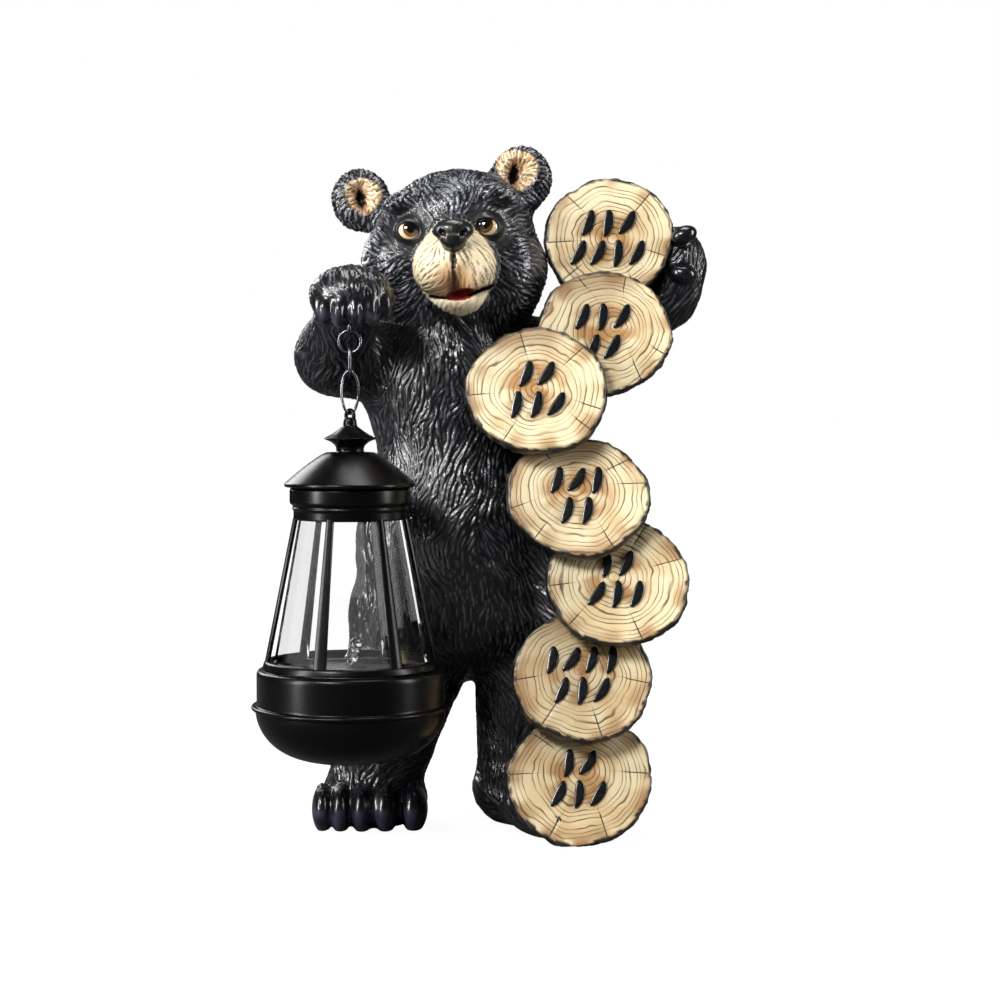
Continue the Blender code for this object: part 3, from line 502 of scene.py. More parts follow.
skin, quads = net_over(rough_balls(), SKIN_STEP)
skin = draw_to_skin(skin, 3)
skin = relax(relax(skin, quads), quads)
skin = draw_to_skin(skin, 1)
print("skin:", len(skin), "points,", len(quads), "squares")

# %% [markdown]
# ## Hollows
#
# A hollow could be part of the depth too, but in a narrow one the slope leads to the side walls and
# leaves a sheet across its mouth. So each is pressed in from the front instead, like a tool: the points
# in front of its rear wall move straight back to it.

# %% Press the hollows
def press(points):
    """Pushes points back by rear wall less y, where that is positive, with an eased rim. The wall is
    the hollow's middle plus its depth times the root of one less the squared reach."""
    points = points.copy()
    for centre, radii, lean in PRESSED.values():
        rows = near(points, np.array(centre) - max(radii), np.array(centre) + max(radii), 2)
        own = (points[rows] - np.array(centre)) @ lean_matrix(lean) / np.array(radii)
        reach = own[:, 0] ** 2 + own[:, 2] ** 2
        wall = radii[1] * (np.sqrt(np.maximum(1 - reach, 0)) - np.maximum(reach - 1, 0))
        push = centre[1] + wall - points[rows, 1]
        points[rows, 1] -= join_soft(0 * push, -push, PRESS)
    return points


def facing(points):
    """Normal at each point: the cross products of the diagonals of its squares, summed."""
    corner = points[quads]
    cross = np.cross(corner[:, 2] - corner[:, 0], corner[:, 3] - corner[:, 1])
    total = [np.bincount(quads.ravel(), np.repeat(cross[:, k], 4), len(points)) for k in range(3)]
    return unit(np.stack(total, 1))


whole_skin = skin
skin = press(skin)
normals = facing(skin)
print("deepest hollow in mm:", round(float((skin - whole_skin)[:, 1].max()), 1))

# %% [markdown]
# ## Smooth noise
#
# Carving by hand is even but never regular. Random numbers on a lattice, blended by eased shares, give
# a smooth noise that is the same in every run, because its seed is fixed.

# %% Noise and fades
LATTICE = 64
table = np.random.default_rng(7).random((LATTICE,) * 3).astype(np.float32)


def noise(points, cell, shift=0.0):
    """Value noise from -1 to 1: lattice numbers of that cell size, blended by eased shares."""
    place = points / cell + shift
    low = np.floor(place).astype(np.int64)
    part = (place - low).astype(np.float32)
    part = part * part * (3 - 2 * part)
    low %= LATTICE
    high = (low + 1) % LATTICE
    x, y, z = part.T
    ends = []
    for i in (low[:, 0], high[:, 0]):
        row = [table[i, j, low[:, 2]] * (1 - z) + table[i, j, high[:, 2]] * z
               for j in (low[:, 1], high[:, 1])]
        ends.append(row[0] * (1 - y) + row[1] * y)
    return 2 * (ends[0] * (1 - x) + ends[1] * x) - 1


def fade(value, low, high):
    """0 at low, 1 at high, eased between and held beyond; low may be the greater."""
    share = np.clip((value - low) / (high - low), 0, 1)
    return share * share * (3 - 2 * share)


# %% [markdown]
# ## Which way the fur runs
#
# On the head the strands start at the muzzle and fan out over cheeks and crown; on the muzzle they fan
# down from the nose. On the body they hang down, on the arms they follow the limb to the paw, round the
# ears they fan out from the bowl. Each part's direction counts by how near its clay is, and slow noise
# bends the whole into waves.

# %% Directions
PARTS = ("head", "torso", "right_arm", "left_arm", "legs")
FACE = np.array((-19.5, -58, 256.0))
share_of = np.stack([np.exp(-clay(skin, part) / 5.0) for part in PARTS], 1)
share_of /= share_of.sum(axis=1)[:, None]


def head_flow(points):
    """Away from the muzzle; on the muzzle itself, down and outwards from above the nose."""
    flow = (points - FACE) * (1, 0.5, 1) + (0, 12, 0)
    on_muzzle = fade(((points[:, 0] + 19) / 20) ** 2 + ((points[:, 2] - 248) / 16) ** 2, 1.15, 0.85)
    on_muzzle = (on_muzzle * fade(points[:, 1], -38, -46))[:, None]
    flow = unit(flow) * (1 - on_muzzle) + unit((points - (-19.5, 0, 268)) * (1.2, 0, 1)) * on_muzzle
    for name in ("left_ear_bowl", "right_ear_bowl"):
        out = points - np.array(HOLLOWS[name][0])
        reach = np.linalg.norm(out * (1, 0.4, 1), axis=1)
        close = fade(reach, 19, 14)[:, None]
        flow = flow * (1 - close) + close * out / np.maximum(reach, TINY)[:, None]
    return flow


def plain_flow(part, points):
    """The direction of the fur on one body part."""
    x, y, z = points.T
    if part == "head":
        return unit(head_flow(points))
    if part == "right_arm":
        far = fade(y, -12, -26)[:, None]
        flow = (1 - far) * np.array((-1.0, -0.2, -0.25)) + far * np.array((0.15, -0.6, 0.9))
        flow[:, 2] -= 1.6 * fade(y, -56, -70)
    elif part == "left_arm":
        far = fade(x, 40, 52)[:, None]
        flow = (1 - far) * np.array((1.0, 0.0, 0.1)) + far * np.array((0.6, -0.2, 1.0))
    else:
        flow = np.stack([0.012 * (x + 20), 0 * y, -1 + 0 * z], 1)
        if part == "legs":
            flow[:, 1] -= 1.6 * fade(z, 34, 14)
    return unit(flow)


ears = [np.array(HOLLOWS[name][0]) for name in ("left_ear_bowl", "right_ear_bowl")]
in_ear = [fade(np.linalg.norm((skin - middle) * (1, 0.4, 1), axis=1), 12, 9) for middle in ears]
in_ear = np.max(in_ear, axis=0)


def fur_flow(points):
    """Sum of the parts' directions by share, laid flat on the skin and turned by two slow waves."""
    flow = sum(share_of[:, [k]] * plain_flow(part, points) for k, part in enumerate(PARTS))
    flow = unit(flow - (flow * normals).sum(axis=1)[:, None] * normals)
    angle = (0.55 * noise(points, 17.0, 3.3) + 0.65 * noise(points, 6.5, 9.1)) * (1 - 0.6 * in_ear)
    side = np.cross(normals, flow)
    return flow * np.cos(angle)[:, None] + side * np.sin(angle)[:, None]


# %% [markdown]
# ## Combing
#
# To carve strands along those directions, fine noise is averaged along a short bent path through each
# point. Across the path neighbours differ, along it they agree, so the noise becomes strands. Taking
# away the same pattern blurred leaves strands of one width, about 1.5 mm apart, as a carver's gouge cuts
# them. They lie over broad, shallow tufts.

# %% Strands
combed = fur_flow(skin)


def strands(cell, length, samples, shift):
    """Noise averaged along a bent path of that length, scaled to a spread of one. The path's bend is
    the change of direction between two points ahead and behind."""
    half = length / 2
    bend = (fur_flow(skin + combed * half * 0.6) - fur_flow(skin - combed * half * 0.6)) / (1.2 * half)
    total = np.zeros(len(skin))
    for share in np.linspace(-1, 1, samples):
        step = share * half
        path = skin + step * combed + 0.5 * step * abs(step) * bend
        total += (0.5 + 0.5 * math.cos(math.pi * share)) * noise(path, cell, shift)
    return total / total.std()


def along(values, rounds):
    """Averages each point with those it shares a square with, each counted by the eighth power of the
    cosine between the step to it and the strand."""
    ends = edge_ends(quads, (1, 2))
    step = unit(skin[ends[:, 1]] - skin[ends[:, 0]])
    weight = ((step * combed[ends[:, 0]]).sum(axis=1)) ** 8
    total = np.bincount(ends[:, 0], weight, len(values))
    for _ in range(rounds):
        beside = np.bincount(ends[:, 0], weight * values[ends[:, 1]], len(values))
        values = (values + beside) / (1 + total)
    return values


def blur(values, rounds):
    """Averages each point with its neighbours along the net, a number of times."""
    ends = edge_ends(quads)
    count = np.maximum(np.bincount(ends[:, 0], minlength=len(values)), 1)
    for _ in range(rounds):
        values = 0.5 * values + 0.5 * np.bincount(ends[:, 0], values[ends[:, 1]], len(values)) / count
    return values


fine = strands(cell=0.72, length=9.0, samples=17, shift=0.5)
fine = fine - blur(fine, 4)
fine /= fine.std()
broad = strands(cell=3.4, length=16.0, samples=9, shift=5.5)
print("strands from", round(float(fine.min()), 1), "to", round(float(fine.max()), 1))


# %% [markdown]
# ## Where the knife goes
#
# Fur is carved deep on the body, shallow on the muzzle and not at all on nose, lids, claws and toes.
# Each of those places gets a mask from 0 to 1, which also guides the paint later.

# %% Masks
x, y, z = skin.T


def within(names, forms, low, high):
    """1 inside any of the named forms, 0 beyond, eased between two depths."""
    mask = np.zeros(len(skin))
    for name in names:
        rows = near(skin, np.array(forms[name][-3]) - 20, np.array(forms[name][-3]) + 20, 0)
        mask[rows] = np.maximum(mask[rows], fade(ball_depth(skin[rows], *forms[name][-3:]), high, low))
    return mask


# The cream mask of the face: its middle and half its width at a few heights, from chin to nose.
MASK_HEIGHT = (227.3, 229.9, 234.1, 238.4, 242.7, 246.9, 251.2, 255.5, 259.8, 264.0, 267.5, 268.5)
MASK_MIDDLE = (-17.0, -17.3, -18.2, -19.0, -19.3, -19.8, -19.8, -19.8, -20.0, -19.8, -19.8, -19.8)
MASK_HALF = (1.0, 7.6, 11.6, 14.4, 16.8, 18.0, 17.8, 16.5, 13.6, 10.0, 6.5, -1.0)
outside = np.abs(x - np.interp(z, MASK_HEIGHT, MASK_MIDDLE)) - np.interp(z, MASK_HEIGHT, MASK_HALF)
outside = np.where(z < MASK_HEIGHT[0], 1.0, outside)
cream = fade(outside, 0.4, -0.4) * fade(y, -28, -32) * share_of[:, 0]
nose = within(["nose", "nose_tip"], FORMS, 0.35, 0.9) * fade(y, -54, -56)
# On the muzzle the net lies across the strands, so there they are evened out along themselves.
calm = along(fine, 2)
fine = fine + (calm / calm.std() - fine) * cream
lip_gap = z - mouth_line(x)
mouth = within(["mouth"], PRESSED, 0.1, 0.5) * fade(y, -38, -42)
crease = within([name for name in PRESSED if "smile" in name], PRESSED, 0.0, 0.4) * fade(outside, 0.5, -0.5)
crease *= fade(np.abs(lip_gap), 1.0, 0.5) * fade(y, -30, -34)
# The groove under the nose is 2 mm wide, narrows to the mouth and ends in a small wedge.
groove_wide = 0.5 + 0.035 * np.maximum(z - 240, 0) + 0.5 * fade(z, 241, 237)
groove_line = fade(np.abs(x - GROOVE_X), groove_wide + 0.45, groove_wide) * cream
groove_line *= fade(z, 235, 237) * fade(z, 259, 257)
# Inside of the ears: a drop wide above and pointed below, its edge broken by the strands.
ear = np.zeros(len(skin))
DROP = ((0, 0.15, 0.35, 0.6, 0.8, 0.92, 1), (0, 0.5, 0.82, 1, 0.86, 0.58, 0))
for foot, top, wide, middle in ((284.6, 303.4, 9.8, (9.2, 6.6)), (273.6, 290.8, 8.5, (-60.6, -61.9))):
    up = (z - foot) / (top - foot)
    over = np.abs(x - np.interp(up, (0, 1), middle)) - wide * np.interp(up, *DROP)
    ear = np.maximum(ear, fade(over + 0.9 * np.tanh(fine), 0.5, -0.3) * fade(np.abs(up - 0.5), 0.52, 0.48))
ear *= fade(y, 5.6, 4.8)
nail = within([name for name in FORMS if "toe" in name or "claw" in name], FORMS, 1.2, 2.4)
nail[(share_of[:, 4] > 0.5) & (z > 18.5)] = 0
lids = within(["left_lids", "right_lids"], FORMS, 0.3, 1.4)
sockets = within(["left_lids", "right_lids"], FORMS, 3.0, 7.0) * (1 - cream)

# %% Relief
STRAND_DEEP, TUFT_DEEP = 0.40, 0.22
ridge = np.tanh(0.9 * fine)
tuft = np.tanh(broad)
bare = np.clip(0.7 * nose + mouth + crease + nail + lids, 0, 1)
depth = (1 - bare) * (1 - 0.5 * cream) * (1 - 0.4 * sockets)
depth *= 0.55 + 0.45 * fade(z, 8, 20)
relief = depth * (STRAND_DEEP * ridge + TUFT_DEEP * tuft * (1 - cream))
carved = skin + normals * (relief * fade(z, 0.0, 3.0))[:, None]
carved[:, 2] = np.maximum(carved[:, 2], 0.0)
print("relief in mm:", round(float(relief.min()), 2), "to", round(float(relief.max()), 2))

# %% [markdown]
# ## Paint
#
# The casting is sprayed glossy black with a blue tint and its ridges catch a brush of grey, partly real
# dry-brushing and partly a painted highlight. The face is painted by hand: a cream muzzle with ochre in
# its grooves, ochre ears that darken to the middle, a red mouth. The brush goes where the carving lets it,
# so the colours are worked out point by point.

# %% Colours by point
def colour(code):
    return np.array(linear(code)[:3])


def lay(base, code, share):
    """Paints a colour, or a colour for each point, over a base by a share from 0 to 1 at each point."""
    share = np.clip(share, 0, 1)[:, None]
    return base * (1 - share) + (colour(code) if isinstance(code, str) else code) * share


def painted(code, count, *coats):
    """One colour for that many points, then coats of (colour, share) in turn."""
    tone = np.tile(colour(code), (count, 1))
    for coat, share in coats:
        tone = lay(tone, coat, share)
    return tone


blotch = noise(skin, 5.0, 2.0)
# Grey on the strands' crests: partly dry-brushed paint, partly a painted highlight, stronger on the head. It
# is kept out of the sockets round the eyes, which stay black as painted shade.
crest = fade(fine + 0.2 * tuft, 0.4, 1.6)
brush_and_highlight = (0.30 + 0.70 * share_of[:, 0]) * crest * (1 - bare) * (1 - 0.95 * sockets)
paint = painted("#060609", len(skin), ("#888b94", 0.72 * brush_and_highlight))
furrow = fade(fine, -0.2, -1.1)
lobes = fade(np.hypot(x - GROOVE_X, z - 240), 13, 3) * fade(lip_gap, 0, 1) * fade(blotch, -1.4, 0.2)
shadow = fade(np.hypot((x - GROOVE_X) * 1.3, (z - 240) * 0.8), 5.5, 2) * fade(lip_gap, 0, 1)
face_tone = painted("#e8d6b0", len(skin), ("#523b24", 0.9 * furrow), ("#b8793c", 0.75 * lobes),
                    ("#5a3417", 0.8 * shadow), ("#f4e6c6", 0.7 * fade(lip_gap, 0, -1)),
                    ("#1a110c", 0.95 * groove_line * fade(z, 234, 243)))

# %% Ears, mouth and nose
pits = ("left_ear_pit", "right_ear_pit")
away = [(skin - np.array(HOLLOWS[name][0])) @ lean_matrix(HOLLOWS[name][2]) for name in pits]
pit = np.min([np.linalg.norm(offset * (0.55, 0.05, 0.26), axis=1) for offset in away], axis=0)
ear_tone = painted("#c4975f", len(skin), ("#ecdab4", fade(fine + 0.5 * blotch, -0.3, 0.7)),
                   ("#3a200e", 0.9 * furrow), ("#7c4519", 0.75 * fade(pit, 2.9, 1.3)),
                   ("#120804", fade(pit, 1.7, 0.8)))
mouth_tone = painted("#a5352a", len(skin), ("#4d0f0b", fade(lip_gap, 0.2, 1.8)))
# Painted reflection of the pale floor: the lower, downward faces of the claws and toes are blue-grey.
claw_floor_reflection = within([name for name in FORMS if "claw" in name], FORMS, 0.1, 0.5) * share_of[:, 2]
claw_floor_reflection = claw_floor_reflection * fade(z + 0.12 * (x + 64), 229.6, 226.8) * fade(blotch, -1.2, 0.6)
toe_floor_reflection = nail * share_of[:, 4] * fade(z, 12.5, 8) * fade(blotch, -1.2, 0.6)
for coat, share in ((face_tone, cream), (ear_tone, ear), ("#09090b", nose), ("#3a2012", crease),
                    (mouth_tone, mouth), ("#0b0b10", nail), ("#3c3d49", claw_floor_reflection), ("#2e303f", toe_floor_reflection)):
    paint = lay(paint, coat, share)
gloss = 0.33 - 0.06 * nail - 0.16 * nose + 0.2 * cream + 0.25 * ear - 0.1 * mouth + 0.2 * sockets
gloss = np.clip(gloss, 0.1, 0.9)

# %% [markdown]
# ## Pieces of the bear
#
# The net has too many squares for one piece, so it is parted by body part, as a caster parts a mould.
# Each piece is closed with a hidden cap and keeps the normals of the whole skin, so no seam shows.

# %% Mesh helpers
def build(name, points, faces):
    """A smooth mesh object at the origin from points in metres and equal faces as rows of corners."""
    faces = np.asarray(faces, np.int32)
    mesh = bpy.data.meshes.new(name)
    mesh.vertices.add(len(points))
    mesh.vertices.foreach_set("co", np.ascontiguousarray(points, np.float32).ravel())
    mesh.loops.add(faces.size)
    mesh.loops.foreach_set("vertex_index", faces.ravel())
    mesh.polygons.add(len(faces))
    mesh.polygons.foreach_set("loop_start", np.arange(0, faces.size, faces.shape[1], dtype=np.int32))
    mesh.update(calc_edges=True)
    mesh.validate()
    mesh.shade_smooth()
    return new_object(name, mesh)


def give(made, name, values):
    """Stores one number or one colour at each point."""
    values = np.asarray(values, np.float32)
    if values.ndim == 2:
        values = np.concatenate([values, np.ones((len(values), 1), np.float32)], 1)
        made.data.attributes.new(name, "FLOAT_COLOR", "POINT").data.foreach_set("color", values.ravel())
    else:
        made.data.attributes.new(name, "FLOAT", "POINT").data.foreach_set("value", values)


def close_holes(made):
    """Caps every open loop with one face."""
    form = bmesh.new()
    form.from_mesh(made.data)
    bmesh.ops.holes_fill(form, edges=[edge for edge in form.edges if edge.is_boundary], sides=0)
    form.to_mesh(made.data)
    form.free()


def declare(made, node, material):
    """The piece rides on the one body, stands for a node and takes a slot and a material."""
    made.data.materials.append(material)
    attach(made, "root")
    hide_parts(node)


# %% [markdown]
# ## Painted resin
#
# Cast polyester resin, sprayed and brushed, then sealed with clear lacquer. The lacquer gives each
# strand a thin sharp highlight over nearly black paint; the cream of the face is a little duller.

# %% Resin material
painted_resin, tree, shader = new_material("lacquered_resin", IOR=1.5, Coat_Weight=0.35, Coat_Roughness=0.12,
                                            Specular_IOR_Level=0.45)
fill(shader, Base_Color=kept(tree, "paint", "Color"), Roughness=kept(tree, "gloss"))

# %% Part the skin
# The height at which each body part is cut in two, 0 where it stays whole.
CUT_HEIGHT = (0, 150, 0, 0, 62)
whole = facing(carved)
owner = share_of[quads].mean(axis=1).argmax(axis=1)
low = carved[quads, 2].mean(axis=1) < np.array(CUT_HEIGHT)[owner]
piece_of = owner * 2 + low
for key in np.unique(piece_of):
    name = f"bear_{PARTS[key // 2]}" + ("_low" if key % 2 else "")
    rows, faces = np.unique(quads[piece_of == key], return_inverse=True)
    piece = build(name, in_world(carved[rows]), faces.reshape(-1, 4))
    for label, values in (("paint", paint), ("gloss", gloss)):
        give(piece, label, values[rows])
    close_holes(piece)
    piece.data.normals_split_custom_set_from_vertices(whole[rows])
    declare(piece, "cast_statue", painted_resin)
    print(name, 2 * (faces.size // 4), "triangles")


# %% [markdown]
# ## Eyes
#
# The eyes are glass-bright balls set behind carved lids. Painting them as rings round the line of sight
# is enough: a black pupil, a brown iris, and a cream edge that shows only below, for the top of the ball
# is painted dark as the upper lid's shadow.

# %% Grids
def grid_faces(rows, columns):
    """Squares of a grid of points, closed round in the second direction."""
    r, c = np.meshgrid(np.arange(rows - 1), np.arange(columns), indexing="ij")
    right = (c + 1) % columns
    square = [r * columns + c, r * columns + right, (r + 1) * columns + right, (r + 1) * columns + c]
    return np.stack(square, -1).reshape(-1, 4)


def weld(made, distance=0.01):
    """Joins points that fell together at poles and seams, and turns all faces outwards."""
    form = bmesh.new()
    form.from_mesh(made.data)
    bmesh.ops.remove_doubles(form, verts=form.verts, dist=distance * MM)
    bmesh.ops.recalc_face_normals(form, faces=form.faces)
    form.to_mesh(made.data)
    form.free()
    made.data.shade_smooth()
    return made


def circle(steps):
    """That many even angles round a circle."""
    return np.linspace(0, 2 * np.pi, steps, endpoint=False)


def ball(centre, radii, around, up):
    """Ball with its poles on the front axis: angle around times angle from the front pole."""
    turn, tip = np.meshgrid(circle(around), np.linspace(0, np.pi, up))
    ring = np.stack([np.sin(tip) * np.cos(turn), -np.cos(tip), np.sin(tip) * np.sin(turn)], -1)
    return (ring * radii + np.array(centre)).reshape(-1, 3)


# %% Eye pieces
enamel, tree, shader = new_material("enamel_eye", Roughness=0.08, IOR=1.5, Coat_Weight=1.0,
                                    Coat_Roughness=0.03)
fill(shader, Base_Color=kept(tree, "paint", "Color"))
EYE_ROUND, EYE_UP = 64, 49
for side, centre in EYES.items():
    points = ball(centre, EYE_RADII, EYE_ROUND, EYE_UP)
    outwards = 1.0 if side == "left" else -1.0
    aim = points - (np.array(centre) - (outwards * 1.1, 5, -0.7))
    out, up = aim[:, 0] * outwards, aim[:, 2]
    off = np.hypot(aim[:, 0], up)
    tone = painted("#dcc49b", len(points), ("#7a4f28", 0.8 * fade(off, 5.4, 6.8)),
                   ("#1a0d06", fade(off, 3.9, 3.5)),
                   ("#754c22", 0.8 * fade(out * 0.6 - up, 1.0, 2.8) * fade(off, 3.7, 3.2)),
                   ("#030303", fade(off, 2.3, 1.9)),
                   # Painted shadow of the upper lid: the top of the ball is near black.
                   ("#080605", fade(up, 1.2, 2.2) * fade(out, 5.0, 3.4)),
                   ("#2a120a", fade(out, -3.0, -4.2)))
    eye = build(f"bear_{side}_eye", in_world(points), grid_faces(EYE_UP, EYE_ROUND))
    give(eye, "paint", tone)
    weld(eye)
    declare(eye, "cast_statue", enamel)

# %% [markdown]
# ## Log slices
#
# Each slice is a disc sawn from a branch, cast in one with the bear. Seen from the front it is a grid
# of angle times radius about its pith: the radius runs out over the sawn face, down the bark and back
# over the rear. The outline is the model's own, an oval with a few low waves.

# %% Slice sizes
SLICE_THICK, FACE_PROUD, BARK_PROUD, BARK_WOBBLE = 17.0, 0.2, 1.1, 0.021
SLICES = {
    "first": ((47.9, -17, 262.4), 27.5, 26.8, 8, 0, (3, 4), (2.0, 0.0)),
    "second": ((45.0, -30, 220.7), 28.3, 27.2, 10, 50, (3, 2), (6.0, 3.0)),
    "third": ((15.9, -46, 195.7), 29.2, 27.4, 14, 110, (2, 3), (0.0, 0.5)),
    "fourth": ((33.5, -45, 150.2), 30.0, 26.0, 18, 160, (3, 2), (-1.9, 4.6)),
    "fifth": ((50.6, -45, 114.1), 30.5, 28.0, 19, 215, (2, 3), (-1.7, 1.2)),
    "sixth": ((35.7, -45, 72.4), 30.0, 27.6, 20, 260, (4, 3), (-1.3, 3.0)),
    "seventh": ((34.3, -46, 27.6), 31.3, 27.6, 20, 310, (2, 3), (2.6, 4.3)),
}
RING_PITCH, MEAN_RADIUS, CRACKS = 2.4, 28, 6
ROUND, FACE_ROWS = 156, 38


def outline_share(angle, growth):
    """Radius of the bark at an angle, as a share: four low waves whose phase differs by slice."""
    turn = np.radians(growth)
    low = np.sin(2 * angle + turn) + 0.7 * np.sin(3 * angle + 2.3 * turn)
    high = 0.5 * np.sin(5 * angle + 3.1 * turn) + 0.35 * np.sin(8 * angle + 1.7 * turn)
    return 1 + BARK_WOBBLE * (low + high)


def stand_up(points, centre, lean):
    """Turns a slice's own plane upright, its face to the front and tipped up, and moves it in place."""
    turn = np.array(Matrix.Rotation(math.radians(90 - lean), 3, "X"))
    return points @ turn.T + np.array(centre)


# %% [markdown]
# ## Year rings, cracks and bark
#
# A ring is a shallow groove every 1.6 to 5 mm from the pith, bent by noise. Short cracks run in from the
# edge. Both are sunk into the mesh and painted olive brown. The bark is rough: three sizes of noise
# push it in and out, and where it meets the sawn face the edge is chipped.

# %% Slice surface
def slice_rows():
    """Share of the radius, proudness, depth below the face and face share for each row, from the pith
    over the rim and the bark to the middle of the back."""
    face = np.linspace(0, 1, FACE_ROWS)
    bark = np.linspace(0, 1, 18)[1:]
    bulge = np.interp(bark, (0, 0.15, 1), (FACE_PROUD, BARK_PROUD, -2 * BARK_PROUD))
    back = np.linspace(1, 0, 5)[1:]
    share = np.concatenate([face, np.ones(len(bark)), back])
    proud = np.concatenate([np.full(len(face), FACE_PROUD), bulge, np.full(len(back), -2 * BARK_PROUD)])
    down = np.concatenate([0 * face, bark * SLICE_THICK, np.full(len(back), SLICE_THICK)])
    on_face = np.concatenate([np.ones(len(face)), 0 * bark, 0 * back])
    return share, proud, down, on_face


def cracks(angle, share, seed):
    """Signed distance in mm from the nearest of a few short radial cracks that run in from the rim; it
    grows past a crack's inner end."""
    chance = np.random.default_rng(seed)
    nearest = np.full(angle.shape, 9.0)
    for at in 2 * np.pi * (np.arange(CRACKS) + chance.uniform(-0.35, 0.35, CRACKS)) / CRACKS:
        start = chance.uniform(0.60, 0.80)
        off = ((angle - at + np.pi) % (2 * np.pi) - np.pi) * share * MEAN_RADIUS
        off = np.where(off < 0, -1, 1) * (np.abs(off) + 12 * np.maximum(start - share, 0))
        nearest = np.where(np.abs(off) < np.abs(nearest), off, nearest)
    return nearest


def slice_points(centre, half_width, half_height, lean, growth, pith):
    """Figure points of one slice, then ring number, crack, face share, radius share, place on the face
    and bark height at each point."""
    share, proud, down, on_face = slice_rows()
    angle, share = np.meshgrid(circle(ROUND), share)
    proud, down, on_face = (np.repeat(row[:, None], ROUND, 1) for row in (proud, down, on_face))
    edge = outline_share(angle, growth)
    rim = [np.cos(angle) * edge * (half_width + proud), np.sin(angle) * edge * (half_height + proud)]
    rim = np.stack(rim, -1)
    pith = np.array(pith) * on_face[:, :, None]
    spot = pith + share[:, :, None] * (rim - pith)
    place = np.stack([spot[:, :, 0], spot[:, :, 1], -down], -1)
    seeded = place.reshape(-1, 3) + growth
    waver = 0.55 * noise(seeded, 9.0, 0.3) + 0.18 * noise(seeded, 3.0, 4.1)
    ring = share * half_width / RING_PITCH
    ring = ring + (0.25 * np.sin(2.1 * ring + growth) + waver.reshape(share.shape)) * fade(share, 0.0, 0.5)
    line = np.exp(-(((ring + 0.5) % 1 - 0.5) / 0.16) ** 2)
    crack = cracks(angle, share, int(growth) + 3)
    grain = noise(seeded, 0.9, 6.2).reshape(share.shape)
    rough = 0.75 * noise(seeded, 3.6, 1.1) + 0.45 * noise(seeded, 1.6, 2.7) + 0.2 * noise(seeded, 0.9, 8.8)
    edge_share = np.where(on_face > 0, 0.44 * fade(share, 0.965, 1.0), fade(share, 0.4, 0.9))
    bark = edge_share * rough.reshape(share.shape)
    out = spot / np.maximum(np.linalg.norm(spot, axis=2), TINY)[:, :, None]
    place[:, :, :2] += 0.8 * out * bark[:, :, None]
    sunk = 0.22 * line * fade(share, 0.0, 0.1) + 0.4 * fade(np.abs(crack), 0.9, 0.1) + 0.05 * grain
    place[:, :, 2] -= on_face * sunk
    points = stand_up(place.reshape(-1, 3), centre, lean)
    points[:, 2] = np.maximum(points[:, 2], 0.0)
    return points, ring, crack, on_face, share, spot, bark


# %% [markdown]
# ## Sawn wood and bark paint
#
# Not wood but painted resin: cream over a brown wash that stays in the rings and cracks, with amber
# brushed round the middle and a painted shadow where the slice above overlaps. The rings are too thin for
# the mesh's points, so the shader draws the brown line from the ring number kept in an attribute.

# %% Slice material
sawn_paint, tree, shader = new_material("painted_sawn_face", Roughness=0.5, IOR=1.5, Coat_Weight=0.15)
sawn = kept(tree, "sawn")
# The line: the distance from the nearest whole ring number, 0 to 0.5, is near 0. It thins out over 9 mm.
turn = maths(tree, "FRACT", maths(tree, "ADD", kept(tree, "ring"), 0.5))
gap = maths(tree, "ABSOLUTE", maths(tree, "SUBTRACT", turn, 0.5))
faint = spread(tree, speckle(tree, 9, 1.0), 0.30, 0.60, 0.35, 1.0)
line = maths(tree, "MULTIPLY", spread(tree, gap, 0.15, 0.05), faint)
# Pores of 0.9 mm, and cracks half a millimetre wide.
pore = spread(tree, speckle(tree, 0.9, 2.0), 0.32, 0.26, 0.0, 0.55)
hair = spread(tree, maths(tree, "ABSOLUTE", kept(tree, "crack")), 0.34, 0.16)
# In a colour mix input 0 is the share, 6 and 7 are the two colours, and output 2 the result.
tint = kept(tree, "paint", "Color")
for share, code in ((line, "#63492a"), (pore, "#8a6a40"), (hair, "#2b1f14")):
    share = maths(tree, "MULTIPLY", share, sawn)
    tint = add(tree, "Mix", {"data_type": "RGBA"}, 2, _0=share, _6=tint, _7=linear(code))
fill(shader, Base_Color=tint)

